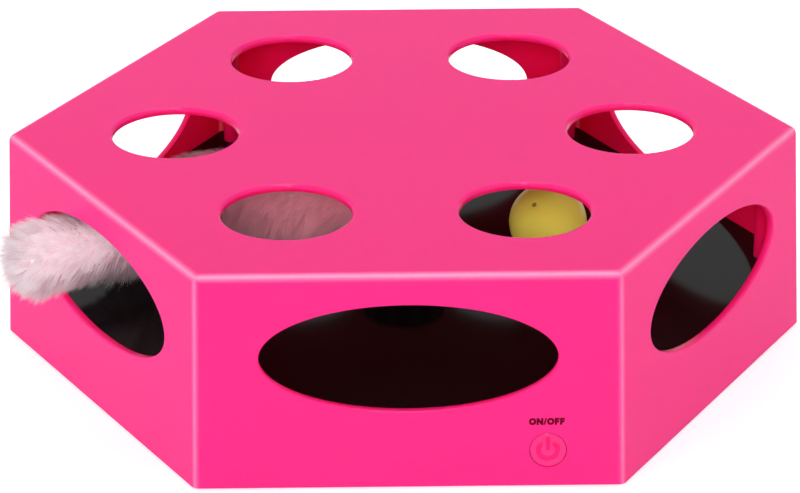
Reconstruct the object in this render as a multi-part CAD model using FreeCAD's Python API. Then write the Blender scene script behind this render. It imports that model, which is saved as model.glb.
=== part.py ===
import FreeCAD, Part
import math
import os

# A battery toy for cats: a low hexagonal hood with paw holes stands over a black floor, and a
# geared motor under the floor turns a hub that drags a furry worm past the holes.
# Sizes are millimetres. +Z is up, the front wall with the button looks toward -Y, and the
# origin is the centre of the base on the surface that the feet stand on.

V = FreeCAD.Vector
UP = V(0, 0, 1)
FULL = 360.0

# Hood
rim_reach = 143.7            # centre to corner at the lower rim
hood_draft = 3.3             # how far the roof's corners stand in from the rim's
shell_height = 76.9
foot_proud = 1.0             # height of the rim over the surface
wall = 2.5
roof_thick = 2.5
corner_round = 3.0
roof_round = 2.6
inner_round = 1.2
cut_over = 1.0               # how far a cutter runs past what it cuts
weld = 0.5                   # how far a fused feature reaches into its wall

# Openings
paw_hole_radius = 22.5
paw_hole_share = 0.563       # centre to hole, as a share of the rim's reach
paw_hole_lip = 1.2
side_post = 22.25            # half of the wall that stays between two side openings
side_half_height = 19.1
side_centre_rise = 46.65     # above the rim
side_lip = 0.6               # rounding of the side openings' outer edges

# Corner bosses and screws
boss_inset = 10.7            # boss to the roof's corner
boss_radius = 3.2
pilot_depth = 10.0
post_radius = 4.6
post_roof = 3.0
post_floor = 0.8             # under a board screw's hole
screw_radius = 1.4
screw_head_radius = 2.8
screw_head_height = 2.0
screw_bite = 7.5
screw_clear = 0.25
head_clear = 0.4
pilot_roof = 0.6             # material left over a pilot hole
thread_clear = 0.03

# Floor plate
deck_rise = 26.5             # its upper face above the rim
deck_thick = 2.2
deck_gap = 0.35
collar_radius = 7.4
collar_height = 8.0
rib_thick = 1.2
rib_height = 3.0
rib_start = 46.0
rib_inset = 9.7              # a rib's end to the boss beyond it

# Base plate
cover_recess = 1.0           # its lower face above the rim
cover_thick = 2.2
cover_gap = 0.4
foot_radius = 5.0
foot_inset = 31.7            # foot to the rim's corner
foot_seat = 0.8
foot_round = 0.6

# Cells, bay and door
cell_count = 3
cell_radius = 7.1
cell_body = 49.0
cell_nub_radius = 2.7
cell_nub_height = 1.3
cell_round = 0.6
cell_pitch = 15.2
bay_y = 62.0
bay_end_space = 3.4          # room for the contacts at each end
bay_side_gap = 0.6
bay_wall = 2.6
door_thick = 1.8
door_ledge = 1.2
door_gap = 0.35
door_corner = 3.0
tongue_width = 7.0
tongue_length = 1.6
tongue_thick = 0.9
tongue_spread = 30.0
grip_count = 4               # grooves for the finger that opens it
grip_width = 18.0
grip_pitch = 1.8
grip_depth = 0.5
contact_thick = 0.4

# Gear train
gear_module = 0.5
gear_addendum = 0.9
mesh_gap = 0.08
tooth_play = 0.14
tooth_width = 2.7
layer_gap = 0.3
pin_radius = 0.75
pin_play = 0.05
axle_boss_radius = 1.6
end_play = 0.1
pin_seat = 0.4               # a pin's end to the floor plate
gear_hub_wall = 2.0          # round the output gear's bore
motor_teeth = 10
first_teeth = 50
first_pinion_teeth = 12
second_teeth = 48
second_pinion_teeth = 12
output_teeth = 60
window_count = 5             # round windows in the output gear
window_radius = 2.2
window_share = 0.62          # their centres, as a share of the tip's radius
dish_inset = 2.4             # a wheel's thinned face to its tip
dish_depth = 0.6

# Gearbox case
case_wall = 1.6
case_clear = 1.0
case_corner = 3.0
lid_thick = 1.6
ear_radius = 3.4
ear_thick = 2.0
ear_drop = 6.0               # under the floor plate
ear_inset = 6.5              # from the case's ends, along Y
ear_web = 4.8                # width of the arm behind an ear
post_slim = 0.4              # a post's radius under its ear's
small_screw_radius = 1.1
small_head_radius = 2.1
small_head_height = 1.5
small_screw_length = 6.5

# Motor
motor_width = 12.0
motor_depth = 10.0
motor_length = 14.5
motor_cap_length = 1.8
motor_round = 2.4
motor_gap = 0.15
motor_shelf = 1.2
motor_shaft_radius = 0.75
motor_nose_radius = 2.0
motor_nose_height = 0.8
motor_rear_bearing = 0.6     # its depth in the end cap
motor_shaft_end = 0.1        # the shaft's play over that bearing
terminal_root = 2.0          # a tab's length inside the cap
terminal_width = 2.0
terminal_reach = 1.8
terminal_thick = 0.4
terminal_rise = 0.7          # above the motor's lower end
terminal_share = 0.3         # each tab's place, as a share of the motor's depth

# Output shaft, bush and rotor
shaft_radius = 3.0
shaft_flat = 2.3             # axis to the flat of the D
shaft_play = 0.05
shaft_hole_clear = 0.6       # where it passes through without a bearing
shaft_end_gap = 0.2
screw_spare = 1.0            # hole's depth past the screw's tip
bush_wall = 1.5
bush_length = 7.5
bush_flange = 0.8
bush_flange_extra = 1.4
fit_clear = 0.02
rotor_radius = 15.6
rotor_draft = 0.5
rotor_wall = 1.8
rotor_floor_gap = 0.9
rotor_web = 2.0
rotor_boss_radius = 5.4
rotor_boss_height = 6.0
rotor_height = 20.1          # skirt to crown
rotor_gap = 0.3
cradle_wall = 1.6            # beside the worm's sleeve
cap_thick = 2.4
cap_round = 1.4
cap_lip = 1.4
cap_lip_depth = 1.6
cap_clear = 0.15

# Worm
worm_turn = 145.0            # bearing of its root on the hub
worm_rise = 14.9             # its root above the floor plate
core_radius = 2.0
core_start = 7.0
ferrule_wall = 0.9
ferrule_length = 6.2
ferrule_clear = 0.04
ferrule_stop = 0.3           # the socket's depth past the sleeve
worm_gap = 0.8
core_clear = 0.25
worm_root_radius = 9.0
worm_radius = 15.0
# the worm's line past its root: x and y as shares of the rim's reach, rise above the floor
# plate, and share of the full radius
worm_route = [
    (-0.181, 0.122, 15.8, 0.95),
    (-0.299, 0.157, 16.6, 1.0),
    (-0.418, 0.181, 17.1, 1.03),
    (-0.508, 0.150, 17.7, 1.03),
    (-0.574, 0.073, 18.3, 1.02),
    (-0.623, -0.024, 18.9, 1.02),
    (-0.675, -0.115, 19.4, 1.02),
    (-0.741, -0.184, 19.8, 0.99),
    (-0.811, -0.237, 20.1, 0.96),
    (-0.879, -0.285, 20.5, 0.97),
]

# Ball
ball_radius = 14.0
ball_reach = 52.0
ball_gap = 0.2

# Switch, button and circuit board
button_x = 46.4
button_rise = 12.9           # above the rim
button_radius = 6.0
button_gap = 0.3
button_proud = 0.3           # how far the cap stands out at its upper edge
button_round = 0.5
button_flange = 1.2
button_flange_thick = 1.0
button_seat_gap = 0.3
button_stem_radius = 2.6
button_travel = 1.5
plunger_half = 1.5
plunger_bite = 3.0
switch_size = 8.5
switch_depth = 6.5           # the plunger's well in the switch
well_play = 0.15
switch_inset = 12.0          # front wall to the switch's face
plunger_reach = 5.0
edge_round = 0.4             # small moulded parts on the board
board_thick = 1.6
board_width = 50.0
board_depth = 28.0
board_front_gap = 0.5
board_shift = -13.0          # board's middle, from the button toward +X
board_boss_radius = 3.0
board_screw_spread = 40.0
board_screw_back = 16.0
chip_size = 5.0
chip_height = 1.6
capacitor_radius = 2.5
capacitor_height = 7.0
capacitor_side = 14.0        # to the board's middle, toward -X
capacitor_back = 9.0         # to the board's front edge
chip_side = 2.0
chip_back = 10.0
leg_count = 4                # on each side of the chip
leg_pitch = 1.27
leg_width = 0.4
leg_reach = 1.0
socket_spread = 16.0         # middle to middle
socket_width = 7.0
socket_depth = 5.5
socket_height = 5.0

# Wires
wire_radius = 0.6
wire_pitch = 1.8
wire_room = 5.0              # the step that the wires' bends are laid out in
tab_reach = 2.0              # a contact's tab outside the bay
tab_width = 2.0

# Levels worked out from the sizes above
SIN60 = math.sin(math.radians(60))
roof_reach = rim_reach - hood_draft
paw_hole_reach = rim_reach * paw_hole_share
side_half_width = rim_reach / 2 - side_post
boss_reach = roof_reach - boss_inset
rib_end = boss_reach - rib_inset
foot_reach = rim_reach - foot_inset
rim_z = foot_proud
roof_z = rim_z + shell_height
roof_under_z = roof_z - roof_thick
deck_top = rim_z + deck_rise
deck_low = deck_top - deck_thick
cover_low = rim_z + cover_recess
cover_top = cover_low + cover_thick
side_z = rim_z + side_centre_rise
button_z = rim_z + button_rise
screw_seat_z = deck_low - post_roof
corners = [60.0 * k for k in range(6)]
faces = [30.0 + 60.0 * k for k in range(6)]

layer_pitch = tooth_width + layer_gap
lid_low = deck_low - lid_thick
top_layer = lid_low - layer_gap - tooth_width
middle_layer = top_layer - layer_pitch
low_layer = middle_layer - layer_pitch
case_floor_top = low_layer - layer_gap
case_floor_low = case_floor_top - case_wall
shelf_top = top_layer - layer_gap
shelf_low = shelf_top - motor_shelf
motor_low = shelf_low - motor_length
ear_top = deck_low - ear_drop

collar_top = deck_top + collar_height
bush_radius = shaft_radius + shaft_play + bush_wall
rotor_low = deck_top + rotor_floor_gap
rotor_top = rotor_low + rotor_height
web_low = collar_top + bush_flange + rotor_gap
web_top = web_low + rotor_web
rotor_boss_top = web_low + rotor_boss_height
rotor_wall_top = rotor_top - cap_thick
worm_z = deck_top + worm_rise
ferrule_radius = core_radius + fit_clear + ferrule_wall

bay_half_length = cell_body / 2 + cell_nub_height / 2 + bay_end_space
bay_half_width = cell_pitch * (cell_count - 1) / 2 + cell_radius + bay_side_gap
bay_floor = cover_low + door_thick + 0.3
cell_z = bay_floor + cell_radius
bay_ceiling = cell_z + cell_radius + 0.3
board_x = button_x + board_shift
board_low = button_z - switch_size / 2 - board_thick
board_top = board_low + board_thick


def reach_at(z):
    """Centre to corner of the hood's outside at a height."""
    share = (z - rim_z) / shell_height
    return rim_reach + (roof_reach - rim_reach) * share


def inner_reach_at(z):
    """Centre to corner of the hood's inside at a height."""
    return reach_at(z) - wall / SIN60


def front_at(z):
    """Distance from the axis to the outside of a wall at a height."""
    return reach_at(z) * SIN60


def polar(reach, bearing, z=0.0):
    """A point by its distance and bearing from the axis."""
    turn = math.radians(bearing)
    return V(reach * math.cos(turn), reach * math.sin(turn), z)


def disc(radius, low, high, x=0.0, y=0.0):
    """A round bar that stands between two heights."""
    return Part.makeCylinder(radius, high - low, V(x, y, low))


def ring(outer, inner, low, high, x=0.0, y=0.0):
    """A sleeve that stands between two heights."""
    return disc(outer, low, high, x, y).cut(disc(inner, low, high, x, y))


def block(x, y, z):
    """A box between two values on each axis."""
    return Part.makeBox(x[1] - x[0], y[1] - y[0], z[1] - z[0], V(x[0], y[0], z[0]))


def joined(shapes):
    """One solid from several that meet."""
    return shapes[0].multiFuse(shapes[1:]).removeSplitter()


def turned(shape, bearing):
    """A copy turned about the main axis."""
    copy = shape.copy()
    copy.rotate(V(0, 0, 0), UP, bearing)
    return copy


def hexagon(reach, z):
    """A level hexagon with corners on the X axis."""
    points = [polar(reach, bearing, z) for bearing in corners]
    return Part.makePolygon(points + points[:1])


def hex_solid(reach_of, low, high):
    """A drafted hexagonal block whose reach follows a function of height."""
    return Part.makeLoft([hexagon(reach_of(low), low), hexagon(reach_of(high), high)], True, True)


def standing_edges(shape):
    """The edges that climb from one level to another."""
    return [e for e in shape.Edges if abs(e.Vertexes[0].Z - e.Vertexes[-1].Z) > 1.0]


def level_edges(shape, z):
    """The edges that lie at one height."""
    return [e for e in shape.Edges if abs(e.BoundBox.ZMin - z) + abs(e.BoundBox.ZMax - z) < 0.01]


def rounded_outline(points, radius, z):
    """A level face round a polygon, with every corner turned by an arc."""
    count = len(points)
    edges = []
    starts = []
    ends = []
    middles = []
    for k in range(count):
        here = V(points[k][0], points[k][1], z)
        before = V(points[k - 1][0], points[k - 1][1], z) - here
        after = V(points[(k + 1) % count][0], points[(k + 1) % count][1], z) - here
        before.normalize()
        after.normalize()
        half = math.acos(max(-1.0, min(1.0, before.dot(after)))) / 2
        inward = before + after
        inward.normalize()
        starts.append(here + before * (radius / math.tan(half)))
        ends.append(here + after * (radius / math.tan(half)))
        middles.append(here + inward * (radius / math.sin(half) - radius))
    for k in range(count):
        edges.append(Part.Arc(starts[k], middles[k], ends[k]).toShape())
        edges.append(Part.LineSegment(ends[k], starts[(k + 1) % count]).toShape())
    return Part.Face(Part.Wire(edges))


def rectangle(x, y, radius, z):
    """A rounded rectangle between two values on each axis."""
    points = [(x[0], y[0]), (x[1], y[0]), (x[1], y[1]), (x[0], y[1])]
    return rounded_outline(points, radius, z)


def raised(face, high):
    """A block over a level face, up to a height."""
    return face.extrude(V(0, 0, high - face.BoundBox.ZMin))


def screw(x, y, seat, length, radius, head_radius, head_height):
    """A self-tapping screw driven upwards, with its head under the seat."""
    head = disc(head_radius, seat - head_height, seat, x, y)
    head = head.makeFillet(head_height * 0.4, level_edges(head, seat - head_height))
    shank = disc(radius, seat, seat + length - radius, x, y)
    tip = Part.makeCone(radius, radius * 0.3, radius, V(x, y, seat + length - radius))
    slot = head_radius * 0.55
    cross = [
        block((x - slot, x + slot), (y - 0.3, y + 0.3), (seat - head_height, seat - head_height + 0.9)),
        block((x - 0.3, x + 0.3), (y - slot, y + slot), (seat - head_height, seat - head_height + 0.9)),
    ]
    return joined([head, shank, tip]).cut(joined(cross))


def involute(angle):
    """The involute of a pressure angle."""
    return math.tan(angle) - angle


def gear_blank(teeth, low, high, x, y, phase, steps):
    """A spur gear's toothed block. One tooth points along the phase, in degrees."""
    pressure = math.radians(20)
    pitch = gear_module * teeth / 2
    base = pitch * math.cos(pressure)
    tip = pitch + gear_module * gear_addendum
    root = pitch - gear_module * 1.25
    half = math.pi / (2 * teeth) - tooth_play / (4 * pitch) + involute(pressure)
    radii = [root + (tip - root) * k / (steps - 1) for k in range(steps)]
    angles = [half - involute(math.acos(min(1.0, base / r))) for r in radii]
    points = []
    for tooth in range(teeth):
        centre = math.radians(phase + FULL * tooth / teeth)
        flank = [(r, centre - a) for r, a in zip(radii, angles)]
        flank += [(r, centre + a) for r, a in reversed(list(zip(radii, angles)))]
        points += [V(x + r * math.cos(a), y + r * math.sin(a), low) for r, a in flank]
    return Part.Face(Part.makePolygon(points + points[:1])).extrude(V(0, 0, high - low))


def meshed_phase(bearing, phase, teeth, next_teeth):
    """The phase of a gear that meshes with one beside it, along a bearing."""
    return bearing + 180 - (phase - bearing) * teeth / next_teeth + 180 / next_teeth


def mesh_distance(teeth, next_teeth):
    """Axis to axis of two gears in mesh."""
    return gear_module * (teeth + next_teeth) / 2 + mesh_gap


def tip_radius(teeth):
    """Outer radius of a gear."""
    return gear_module * (teeth / 2 + gear_addendum)


# Axes of the train in plan: the second gear stands in front of the output gear, and the first
# gear and the motor stand beside it in a line.
second_bearing = -90.0
second_x = 0.0
second_y = -mesh_distance(second_pinion_teeth, output_teeth)
first_bearing = 0.0
first_x = second_x + mesh_distance(first_pinion_teeth, second_teeth)
first_y = second_y
motor_x = first_x + mesh_distance(motor_teeth, first_teeth)
motor_y = first_y

# Phases that put the teeth in mesh at rest
output_phase = 0.0
second_pinion_phase = meshed_phase(second_bearing, output_phase, output_teeth, second_pinion_teeth)
second_phase = 0.0
first_pinion_phase = meshed_phase(first_bearing, second_phase, second_teeth, first_pinion_teeth)
first_phase = 0.0
motor_phase = meshed_phase(first_bearing, first_phase, first_teeth, motor_teeth)


def case_outline(margin, z):
    """The gearbox's L-shaped outline, grown by a margin."""
    room = case_clear + margin
    big = tip_radius(output_teeth) + room
    low_y = first_y - tip_radius(first_teeth) - room
    step_y = first_y + tip_radius(first_teeth) + room
    right = motor_x + motor_width / 2 + room
    points = [(-big, low_y), (right, low_y), (right, step_y), (big, step_y), (big, big), (-big, big)]
    return rounded_outline(points, case_corner, z)


def case_front():
    """Where the gearbox's case ends toward the button, on the Y axis."""
    return first_y - tip_radius(first_teeth) - case_clear - case_wall


def ear_places():
    """Centres of the gearbox's four screw ears."""
    side = tip_radius(output_teeth) + case_clear + case_wall + ear_radius
    right = motor_x + motor_width / 2 + case_clear + case_wall + ear_radius
    near = case_front() + ear_inset
    far = tip_radius(output_teeth) - ear_inset
    return [(-side, far), (-side, near), (side, far), (right, near)]


def outer_shell():
    """The pink hood, with its paw holes, side openings and corner bosses."""
    body = hex_solid(reach_at, rim_z, roof_z)
    body = body.makeFillet(corner_round, standing_edges(body))
    body = body.makeFillet(roof_round, level_edges(body, roof_z))
    cavity = hex_solid(inner_reach_at, rim_z - cut_over, roof_under_z)
    cavity = cavity.makeFillet(inner_round, standing_edges(cavity))
    body = body.cut(cavity)
    holes = [disc(paw_hole_radius, roof_under_z - cut_over, roof_z + cut_over, p.x, p.y)
             for p in [polar(paw_hole_reach, bearing) for bearing in corners]]
    body = body.cut(holes[0].multiFuse(holes[1:]))
    lips = [e for e in level_edges(body, roof_z) if isinstance(e.Curve, Part.Circle)
            and abs(e.Curve.Radius - paw_hole_radius) < 0.01]
    body = body.makeFillet(paw_hole_lip, lips)
    body = body.cut(joined_openings())
    body = body.makeFillet(side_lip, oval_edges(body))
    bosses = []
    for bearing in corners:
        place = polar(boss_reach, bearing)
        boss = disc(boss_radius, deck_top, roof_under_z + weld, place.x, place.y)
        pilot = disc(screw_radius + thread_clear, deck_top - cut_over, deck_top + pilot_depth,
                     place.x, place.y)
        bosses.append(boss.cut(pilot))
    body = body.multiFuse(bosses).removeSplitter()
    return body.cut(button_hole())


def joined_openings():
    """The six oval cutters for the walls."""
    start = front_at(side_z) - 6 * wall
    centre = V(start, 0, side_z)
    oval = Part.Ellipse(centre + V(0, side_half_width, 0), centre + V(0, 0, side_half_height), centre)
    cutter = Part.Face(Part.Wire(oval.toShape())).extrude(V(12 * wall, 0, 0))
    cutters = [turned(cutter, bearing) for bearing in faces]
    return cutters[0].multiFuse(cutters[1:])


def oval_edges(shape):
    """The outer edges of the side openings."""
    edges = []
    for edge in shape.Edges:
        box = edge.BoundBox
        reach = math.hypot(box.Center.x, box.Center.y)
        if abs(box.ZLength - 2 * side_half_height) < 0.5 and reach > front_at(side_z) - wall / 2:
            edges.append(edge)
    return edges


def button_hole():
    """The round cutter for the button in the front wall."""
    start = V(button_x, -front_at(button_z) - 2 * wall, button_z)
    return Part.makeCylinder(button_radius + button_gap, 5 * wall, start, V(0, 1, 0))


def deck_plate():
    """The glossy floor, with the shaft's collar on it and the gearbox's posts under it."""
    plate = hex_solid(lambda z: inner_reach_at(z) - deck_gap / SIN60, deck_low, deck_top)
    parts = [plate, disc(collar_radius, deck_low, collar_top)]
    for x, y in ear_places():
        parts.append(disc(ear_radius - post_slim, ear_top, deck_low, x, y))
    for bearing in corners:
        rib = block((rib_start, rib_end), (-rib_thick / 2, rib_thick / 2), (deck_low - rib_height, deck_low))
        parts.append(turned(rib, bearing))
    body = joined(parts)
    body = body.cut(disc(bush_radius + fit_clear, collar_top - bush_length, collar_top))
    body = body.cut(disc(shaft_radius + shaft_hole_clear, deck_low, collar_top))
    for x, y in ear_places():
        body = body.cut(disc(small_screw_radius + thread_clear, ear_top, deck_low + pilot_roof, x, y))
    for bearing in corners:
        place = polar(boss_reach, bearing)
        body = body.cut(disc(screw_radius + screw_clear, deck_low, deck_top, place.x, place.y))
    return body


def bottom_cover():
    """The base plate, with screw posts, battery bay, board bosses and seats for the feet."""
    plate = hex_solid(lambda z: inner_reach_at(z) - cover_gap / SIN60, cover_low, cover_top)
    parts = [plate, bay_walls()]
    places = [polar(boss_reach, bearing) for bearing in corners]
    parts += [disc(post_radius, cover_low, deck_low, p.x, p.y) for p in places]
    parts += [disc(board_boss_radius, cover_low, board_low, x, y) for x, y in board_screw_places()]
    body = joined(parts)
    body = body.cut(bay_room())
    for place in places:
        body = body.cut(disc(screw_head_radius + head_clear, cover_low, screw_seat_z, place.x, place.y))
        body = body.cut(disc(screw_radius + screw_clear, screw_seat_z, deck_low, place.x, place.y))
    for bearing in corners:
        place = polar(foot_reach, bearing)
        body = body.cut(disc(foot_radius + fit_clear, cover_low, cover_low + foot_seat, place.x, place.y))
    for x, y in board_screw_places():
        body = body.cut(disc(small_screw_radius + thread_clear, cover_low + post_floor, board_low, x, y))
    for side in (-1, 1):
        body = body.cut(contact_tab(side, fit_clear))
    return body


def door_block(margin, low, high):
    """The battery door's block, grown by a margin: round front corners and a straight rear edge."""
    half_length = bay_half_length + door_ledge + margin
    front = bay_y - bay_half_width - door_ledge - margin
    rear = bay_y + bay_half_width + door_ledge + margin
    past = rear + 2 * door_corner
    body = raised(rectangle((-half_length, half_length), (front, past), door_corner, low), high)
    return body.cut(block((-half_length, half_length), (rear, past), (low, high)))


def bay_walls():
    """The battery bay as a solid block with the cells' saddles on its inside left to the cut."""
    half_length = bay_half_length + bay_wall
    half_width = bay_half_width + bay_wall
    low = cover_low + door_thick
    outline = rectangle((-half_length, half_length), (bay_y - half_width, bay_y + half_width), bay_wall, low)
    return raised(outline, bay_ceiling + case_wall)


def bay_room():
    """What is hollow in the bay: the cells' space, the door's opening and the tongues' pockets."""
    cells = block((-bay_half_length, bay_half_length), (bay_y - bay_half_width, bay_y + bay_half_width),
                  (cover_low - cut_over, bay_ceiling))
    opening = door_block(door_gap, cover_low - cut_over, cover_low + door_thick)
    parts = [cells, opening]
    reach = door_thick / 2 + tongue_length + door_gap
    for side in (-1, 1):
        middle = side * tongue_spread / 2
        width = tongue_width / 2 + door_gap
        pocket = Part.makeCylinder(reach, 2 * width, V(middle - width, hinge_y(), hinge_z()), V(1, 0, 0))
        floor = block((middle - width, middle + width), (hinge_y() - 5.0, hinge_y() + 5.0),
                      (hinge_z() - tongue_thick / 2 - door_gap, hinge_z() + reach))
        parts.append(pocket.common(floor))
    return joined(parts)


def hinge_y():
    """The door's turning line, level with the middle of its rear edge."""
    return bay_y + bay_half_width + door_ledge - door_thick / 2


def hinge_z():
    """Height of the door's turning line."""
    return cover_low + door_thick / 2


def battery_door():
    """The bay's door, which swings down about the two tongues on its rear edge."""
    half_length = bay_half_length + door_ledge
    front = bay_y - bay_half_width - door_ledge
    flat = door_block(0.0, cover_low, cover_low + door_thick)
    corner = block((-half_length, half_length), (hinge_y(), hinge_y() + door_thick), (cover_low, bay_floor))
    start = V(-half_length, hinge_y(), hinge_z())
    roll = Part.makeCylinder(door_thick / 2, 2 * half_length, start, V(1, 0, 0)).common(flat)
    body = flat.cut(corner).fuse(roll)
    tongues = []
    for side in (-1, 1):
        middle = side * tongue_spread / 2
        tongues.append(block((middle - tongue_width / 2, middle + tongue_width / 2),
                             (hinge_y(), hinge_y() + door_thick / 2 + tongue_length),
                             (hinge_z() - tongue_thick / 2, hinge_z() + tongue_thick / 2)))
    body = body.multiFuse(tongues)
    for k in range(grip_count):
        y = front + grip_pitch * (k + 1)
        body = body.cut(block((-grip_width / 2, grip_width / 2), (y, y + grip_pitch / 2),
                              (cover_low, cover_low + grip_depth)))
    return body.removeSplitter()


def rubber_feet():
    """Six round pads in their seats."""
    feet = []
    for bearing in corners:
        place = polar(foot_reach, bearing)
        foot = disc(foot_radius, 0.0, cover_low + foot_seat, place.x, place.y)
        feet.append(foot.makeFillet(foot_round, level_edges(foot, 0.0)))
    return Part.makeCompound(feet)


def shell_screws():
    """Six screws from below through the base's posts and the floor into the hood's bosses."""
    length = post_roof + deck_thick + screw_bite
    places = [polar(boss_reach, bearing) for bearing in corners]
    return Part.makeCompound([screw(p.x, p.y, screw_seat_z, length, screw_radius, screw_head_radius,
                                    screw_head_height) for p in places])


def gearbox_tray():
    """The gearbox's case, with ears, axle seats and the motor's sleeve."""
    body = raised(case_outline(case_wall, case_floor_low), lid_low)
    body = body.cut(raised(case_outline(0.0, case_floor_top), lid_low))
    parts = [body]
    for x, y in ear_places():
        near = max(-1, min(1, x)) * (tip_radius(output_teeth) + case_clear + case_wall / 2)
        if x > motor_x:
            near = motor_x + motor_width / 2 + case_clear + case_wall / 2
        parts.append(disc(ear_radius, ear_top - ear_thick, ear_top, x, y))
        arm = (y - ear_web / 2, y + ear_web / 2)
        parts.append(block(sorted((near, x)), arm, (ear_top - ear_thick, ear_top)))
    half_x = motor_width / 2 + motor_gap
    half_y = motor_depth / 2 + motor_gap
    parts.append(block((motor_x - half_x - case_wall, motor_x + half_x + case_clear),
                       (motor_y - half_y - case_wall, motor_y + half_y + case_wall),
                       (case_floor_low, shelf_top)))
    body = joined(parts)
    body = body.cut(block((motor_x - half_x, motor_x + half_x), (motor_y - half_y, motor_y + half_y),
                          (case_floor_low, shelf_low)))
    body = body.cut(disc(motor_nose_radius + motor_gap, shelf_low, shelf_top, motor_x, motor_y))
    body = body.cut(disc(shaft_radius + shaft_play, case_floor_low, case_floor_top))
    for x, y in ((first_x, first_y), (second_x, second_y)):
        body = body.cut(disc(pin_radius + fit_clear, case_floor_low, case_floor_top, x, y))
    for x, y in ear_places():
        body = body.cut(disc(small_screw_radius + screw_clear, ear_top - ear_thick, ear_top, x, y))
    return body


def gearbox_lid():
    """The plate that closes the gearbox under the floor."""
    body = raised(case_outline(case_wall, lid_low), deck_low)
    body = body.cut(disc(shaft_radius + shaft_hole_clear, lid_low, deck_low))
    for x, y in ((first_x, first_y), (second_x, second_y)):
        body = body.cut(disc(pin_radius + fit_clear, lid_low, deck_low - pin_seat, x, y))
    return body


def gearbox_screws():
    """Four screws through the ears into the floor's posts."""
    return Part.makeCompound([screw(x, y, ear_top - ear_thick, small_screw_length, small_screw_radius,
                                    small_head_radius, small_head_height) for x, y in ear_places()])


def gear_pins():
    """The two fixed steel pins that the idler gears turn on."""
    return Part.makeCompound([disc(pin_radius, case_floor_low, deck_low - pin_seat, x, y)
                              for x, y in ((first_x, first_y), (second_x, second_y))])


def compound_gear(x, y, wheel, wheel_low, wheel_phase, pinion, pinion_low, pinion_phase):
    """A wheel with a smaller gear under it, on a plain bore."""
    low = case_floor_top + end_play
    high = lid_low - end_play
    parts = [
        gear_blank(wheel, wheel_low, wheel_low + tooth_width, x, y, wheel_phase, 2),
        gear_blank(pinion, pinion_low, wheel_low, x, y, pinion_phase, 4),
        disc(axle_boss_radius, low, high, x, y),
    ]
    top = wheel_low + tooth_width
    dish = ring(tip_radius(wheel) - dish_inset, 2 * axle_boss_radius, top - dish_depth, top, x, y)
    return joined(parts).cut(dish).cut(disc(pin_radius + pin_play, low, high, x, y))


def first_gear():
    """The wheel that the motor's pinion drives, with the pinion that drives the second gear."""
    return compound_gear(first_x, first_y, first_teeth, top_layer, first_phase,
                         first_pinion_teeth, middle_layer, first_pinion_phase)


def second_gear():
    """The wheel in the middle layer, with the pinion that drives the output gear."""
    return compound_gear(second_x, second_y, second_teeth, middle_layer, second_phase,
                         second_pinion_teeth, low_layer, second_pinion_phase)


def output_gear():
    """The last wheel, pressed on the output shaft."""
    body = gear_blank(output_teeth, low_layer, low_layer + tooth_width, 0, 0, output_phase, 2)
    body = body.fuse(disc(shaft_radius + gear_hub_wall, case_floor_top + end_play, low_layer + tooth_width))
    top = low_layer + tooth_width
    dish = ring(tip_radius(output_teeth) - dish_inset, 2.2 * shaft_radius, top - dish_depth, top)
    window = disc(window_radius, low_layer, top, tip_radius(output_teeth) * window_share, 0)
    windows = [turned(window, FULL * k / window_count) for k in range(window_count)]
    body = body.cut(dish).cut(windows[0].multiFuse(windows[1:]))
    return body.cut(disc(shaft_radius + fit_clear, case_floor_top, low_layer + tooth_width))


def d_bar(radius, flat, low, high):
    """A round bar with one flat, which faces the worm."""
    bar = disc(radius, low, high)
    cut = block((flat, radius + cut_over), (-radius - cut_over, radius + cut_over), (low, high))
    return bar.cut(turned(cut, worm_turn))


def output_shaft():
    """The shaft from the gearbox's floor to the rotor, with a D-shaped end."""
    body = disc(shaft_radius, case_floor_low + shaft_end_gap, web_low)
    end = d_bar(shaft_radius, shaft_flat, web_low, rotor_boss_top - shaft_end_gap)
    body = body.fuse(end).removeSplitter()
    hole_low = rotor_boss_top - small_screw_length - screw_spare
    return body.cut(disc(small_screw_radius + thread_clear, hole_low, rotor_boss_top))


def shaft_bush():
    """The flanged plain bearing in the floor's collar."""
    body = disc(bush_radius, collar_top - bush_length, collar_top)
    body = body.fuse(disc(bush_radius + bush_flange_extra, collar_top, collar_top + bush_flange))
    return body.cut(disc(shaft_radius + shaft_play, collar_top - bush_length, collar_top + bush_flange))


def worm_bar(radius, start, end):
    """A straight round bar along the worm's root, between two distances from the axis."""
    axis = polar(1.0, worm_turn)
    return Part.makeCylinder(radius, end - start, axis * start + V(0, 0, worm_z), axis)


def rotor_hub():
    """The turning hub: a skirt over the collar, a web, and the worm's socket on top of it."""
    high = rotor_wall_top - rotor_low
    skirt = Part.makeCone(rotor_radius, rotor_radius - rotor_draft, high, V(0, 0, rotor_low))
    inside = rotor_radius - rotor_draft - rotor_wall
    body = skirt.cut(disc(inside, rotor_low, web_low)).cut(disc(inside, web_top, rotor_wall_top))
    half = ferrule_radius + cradle_wall
    cradle = block((rotor_boss_radius - cut_over, inside + weld), (-half, half), (web_top, worm_z))
    body = joined([body, disc(rotor_boss_radius, web_low, rotor_boss_top), turned(cradle, worm_turn)])
    body = body.cut(worm_bar(ferrule_radius + ferrule_clear, core_start - ferrule_stop,
                             rotor_radius + cut_over))
    return body.cut(d_bar(shaft_radius + fit_clear, shaft_flat + fit_clear, web_low, rotor_boss_top))


def rotor_cap():
    """The hub's round lid, with a lip that drops inside the skirt."""
    top_radius = rotor_radius - rotor_draft
    plate = disc(top_radius, rotor_wall_top, rotor_top)
    plate = plate.makeFillet(cap_round, level_edges(plate, rotor_top))
    lip_radius = top_radius - rotor_wall - cap_clear
    lip = ring(lip_radius, lip_radius - cap_lip, rotor_wall_top - cap_lip_depth, rotor_wall_top)
    lip = lip.cut(worm_bar(ferrule_radius + ferrule_clear, core_start, rotor_radius))
    return joined([plate, lip])


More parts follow.
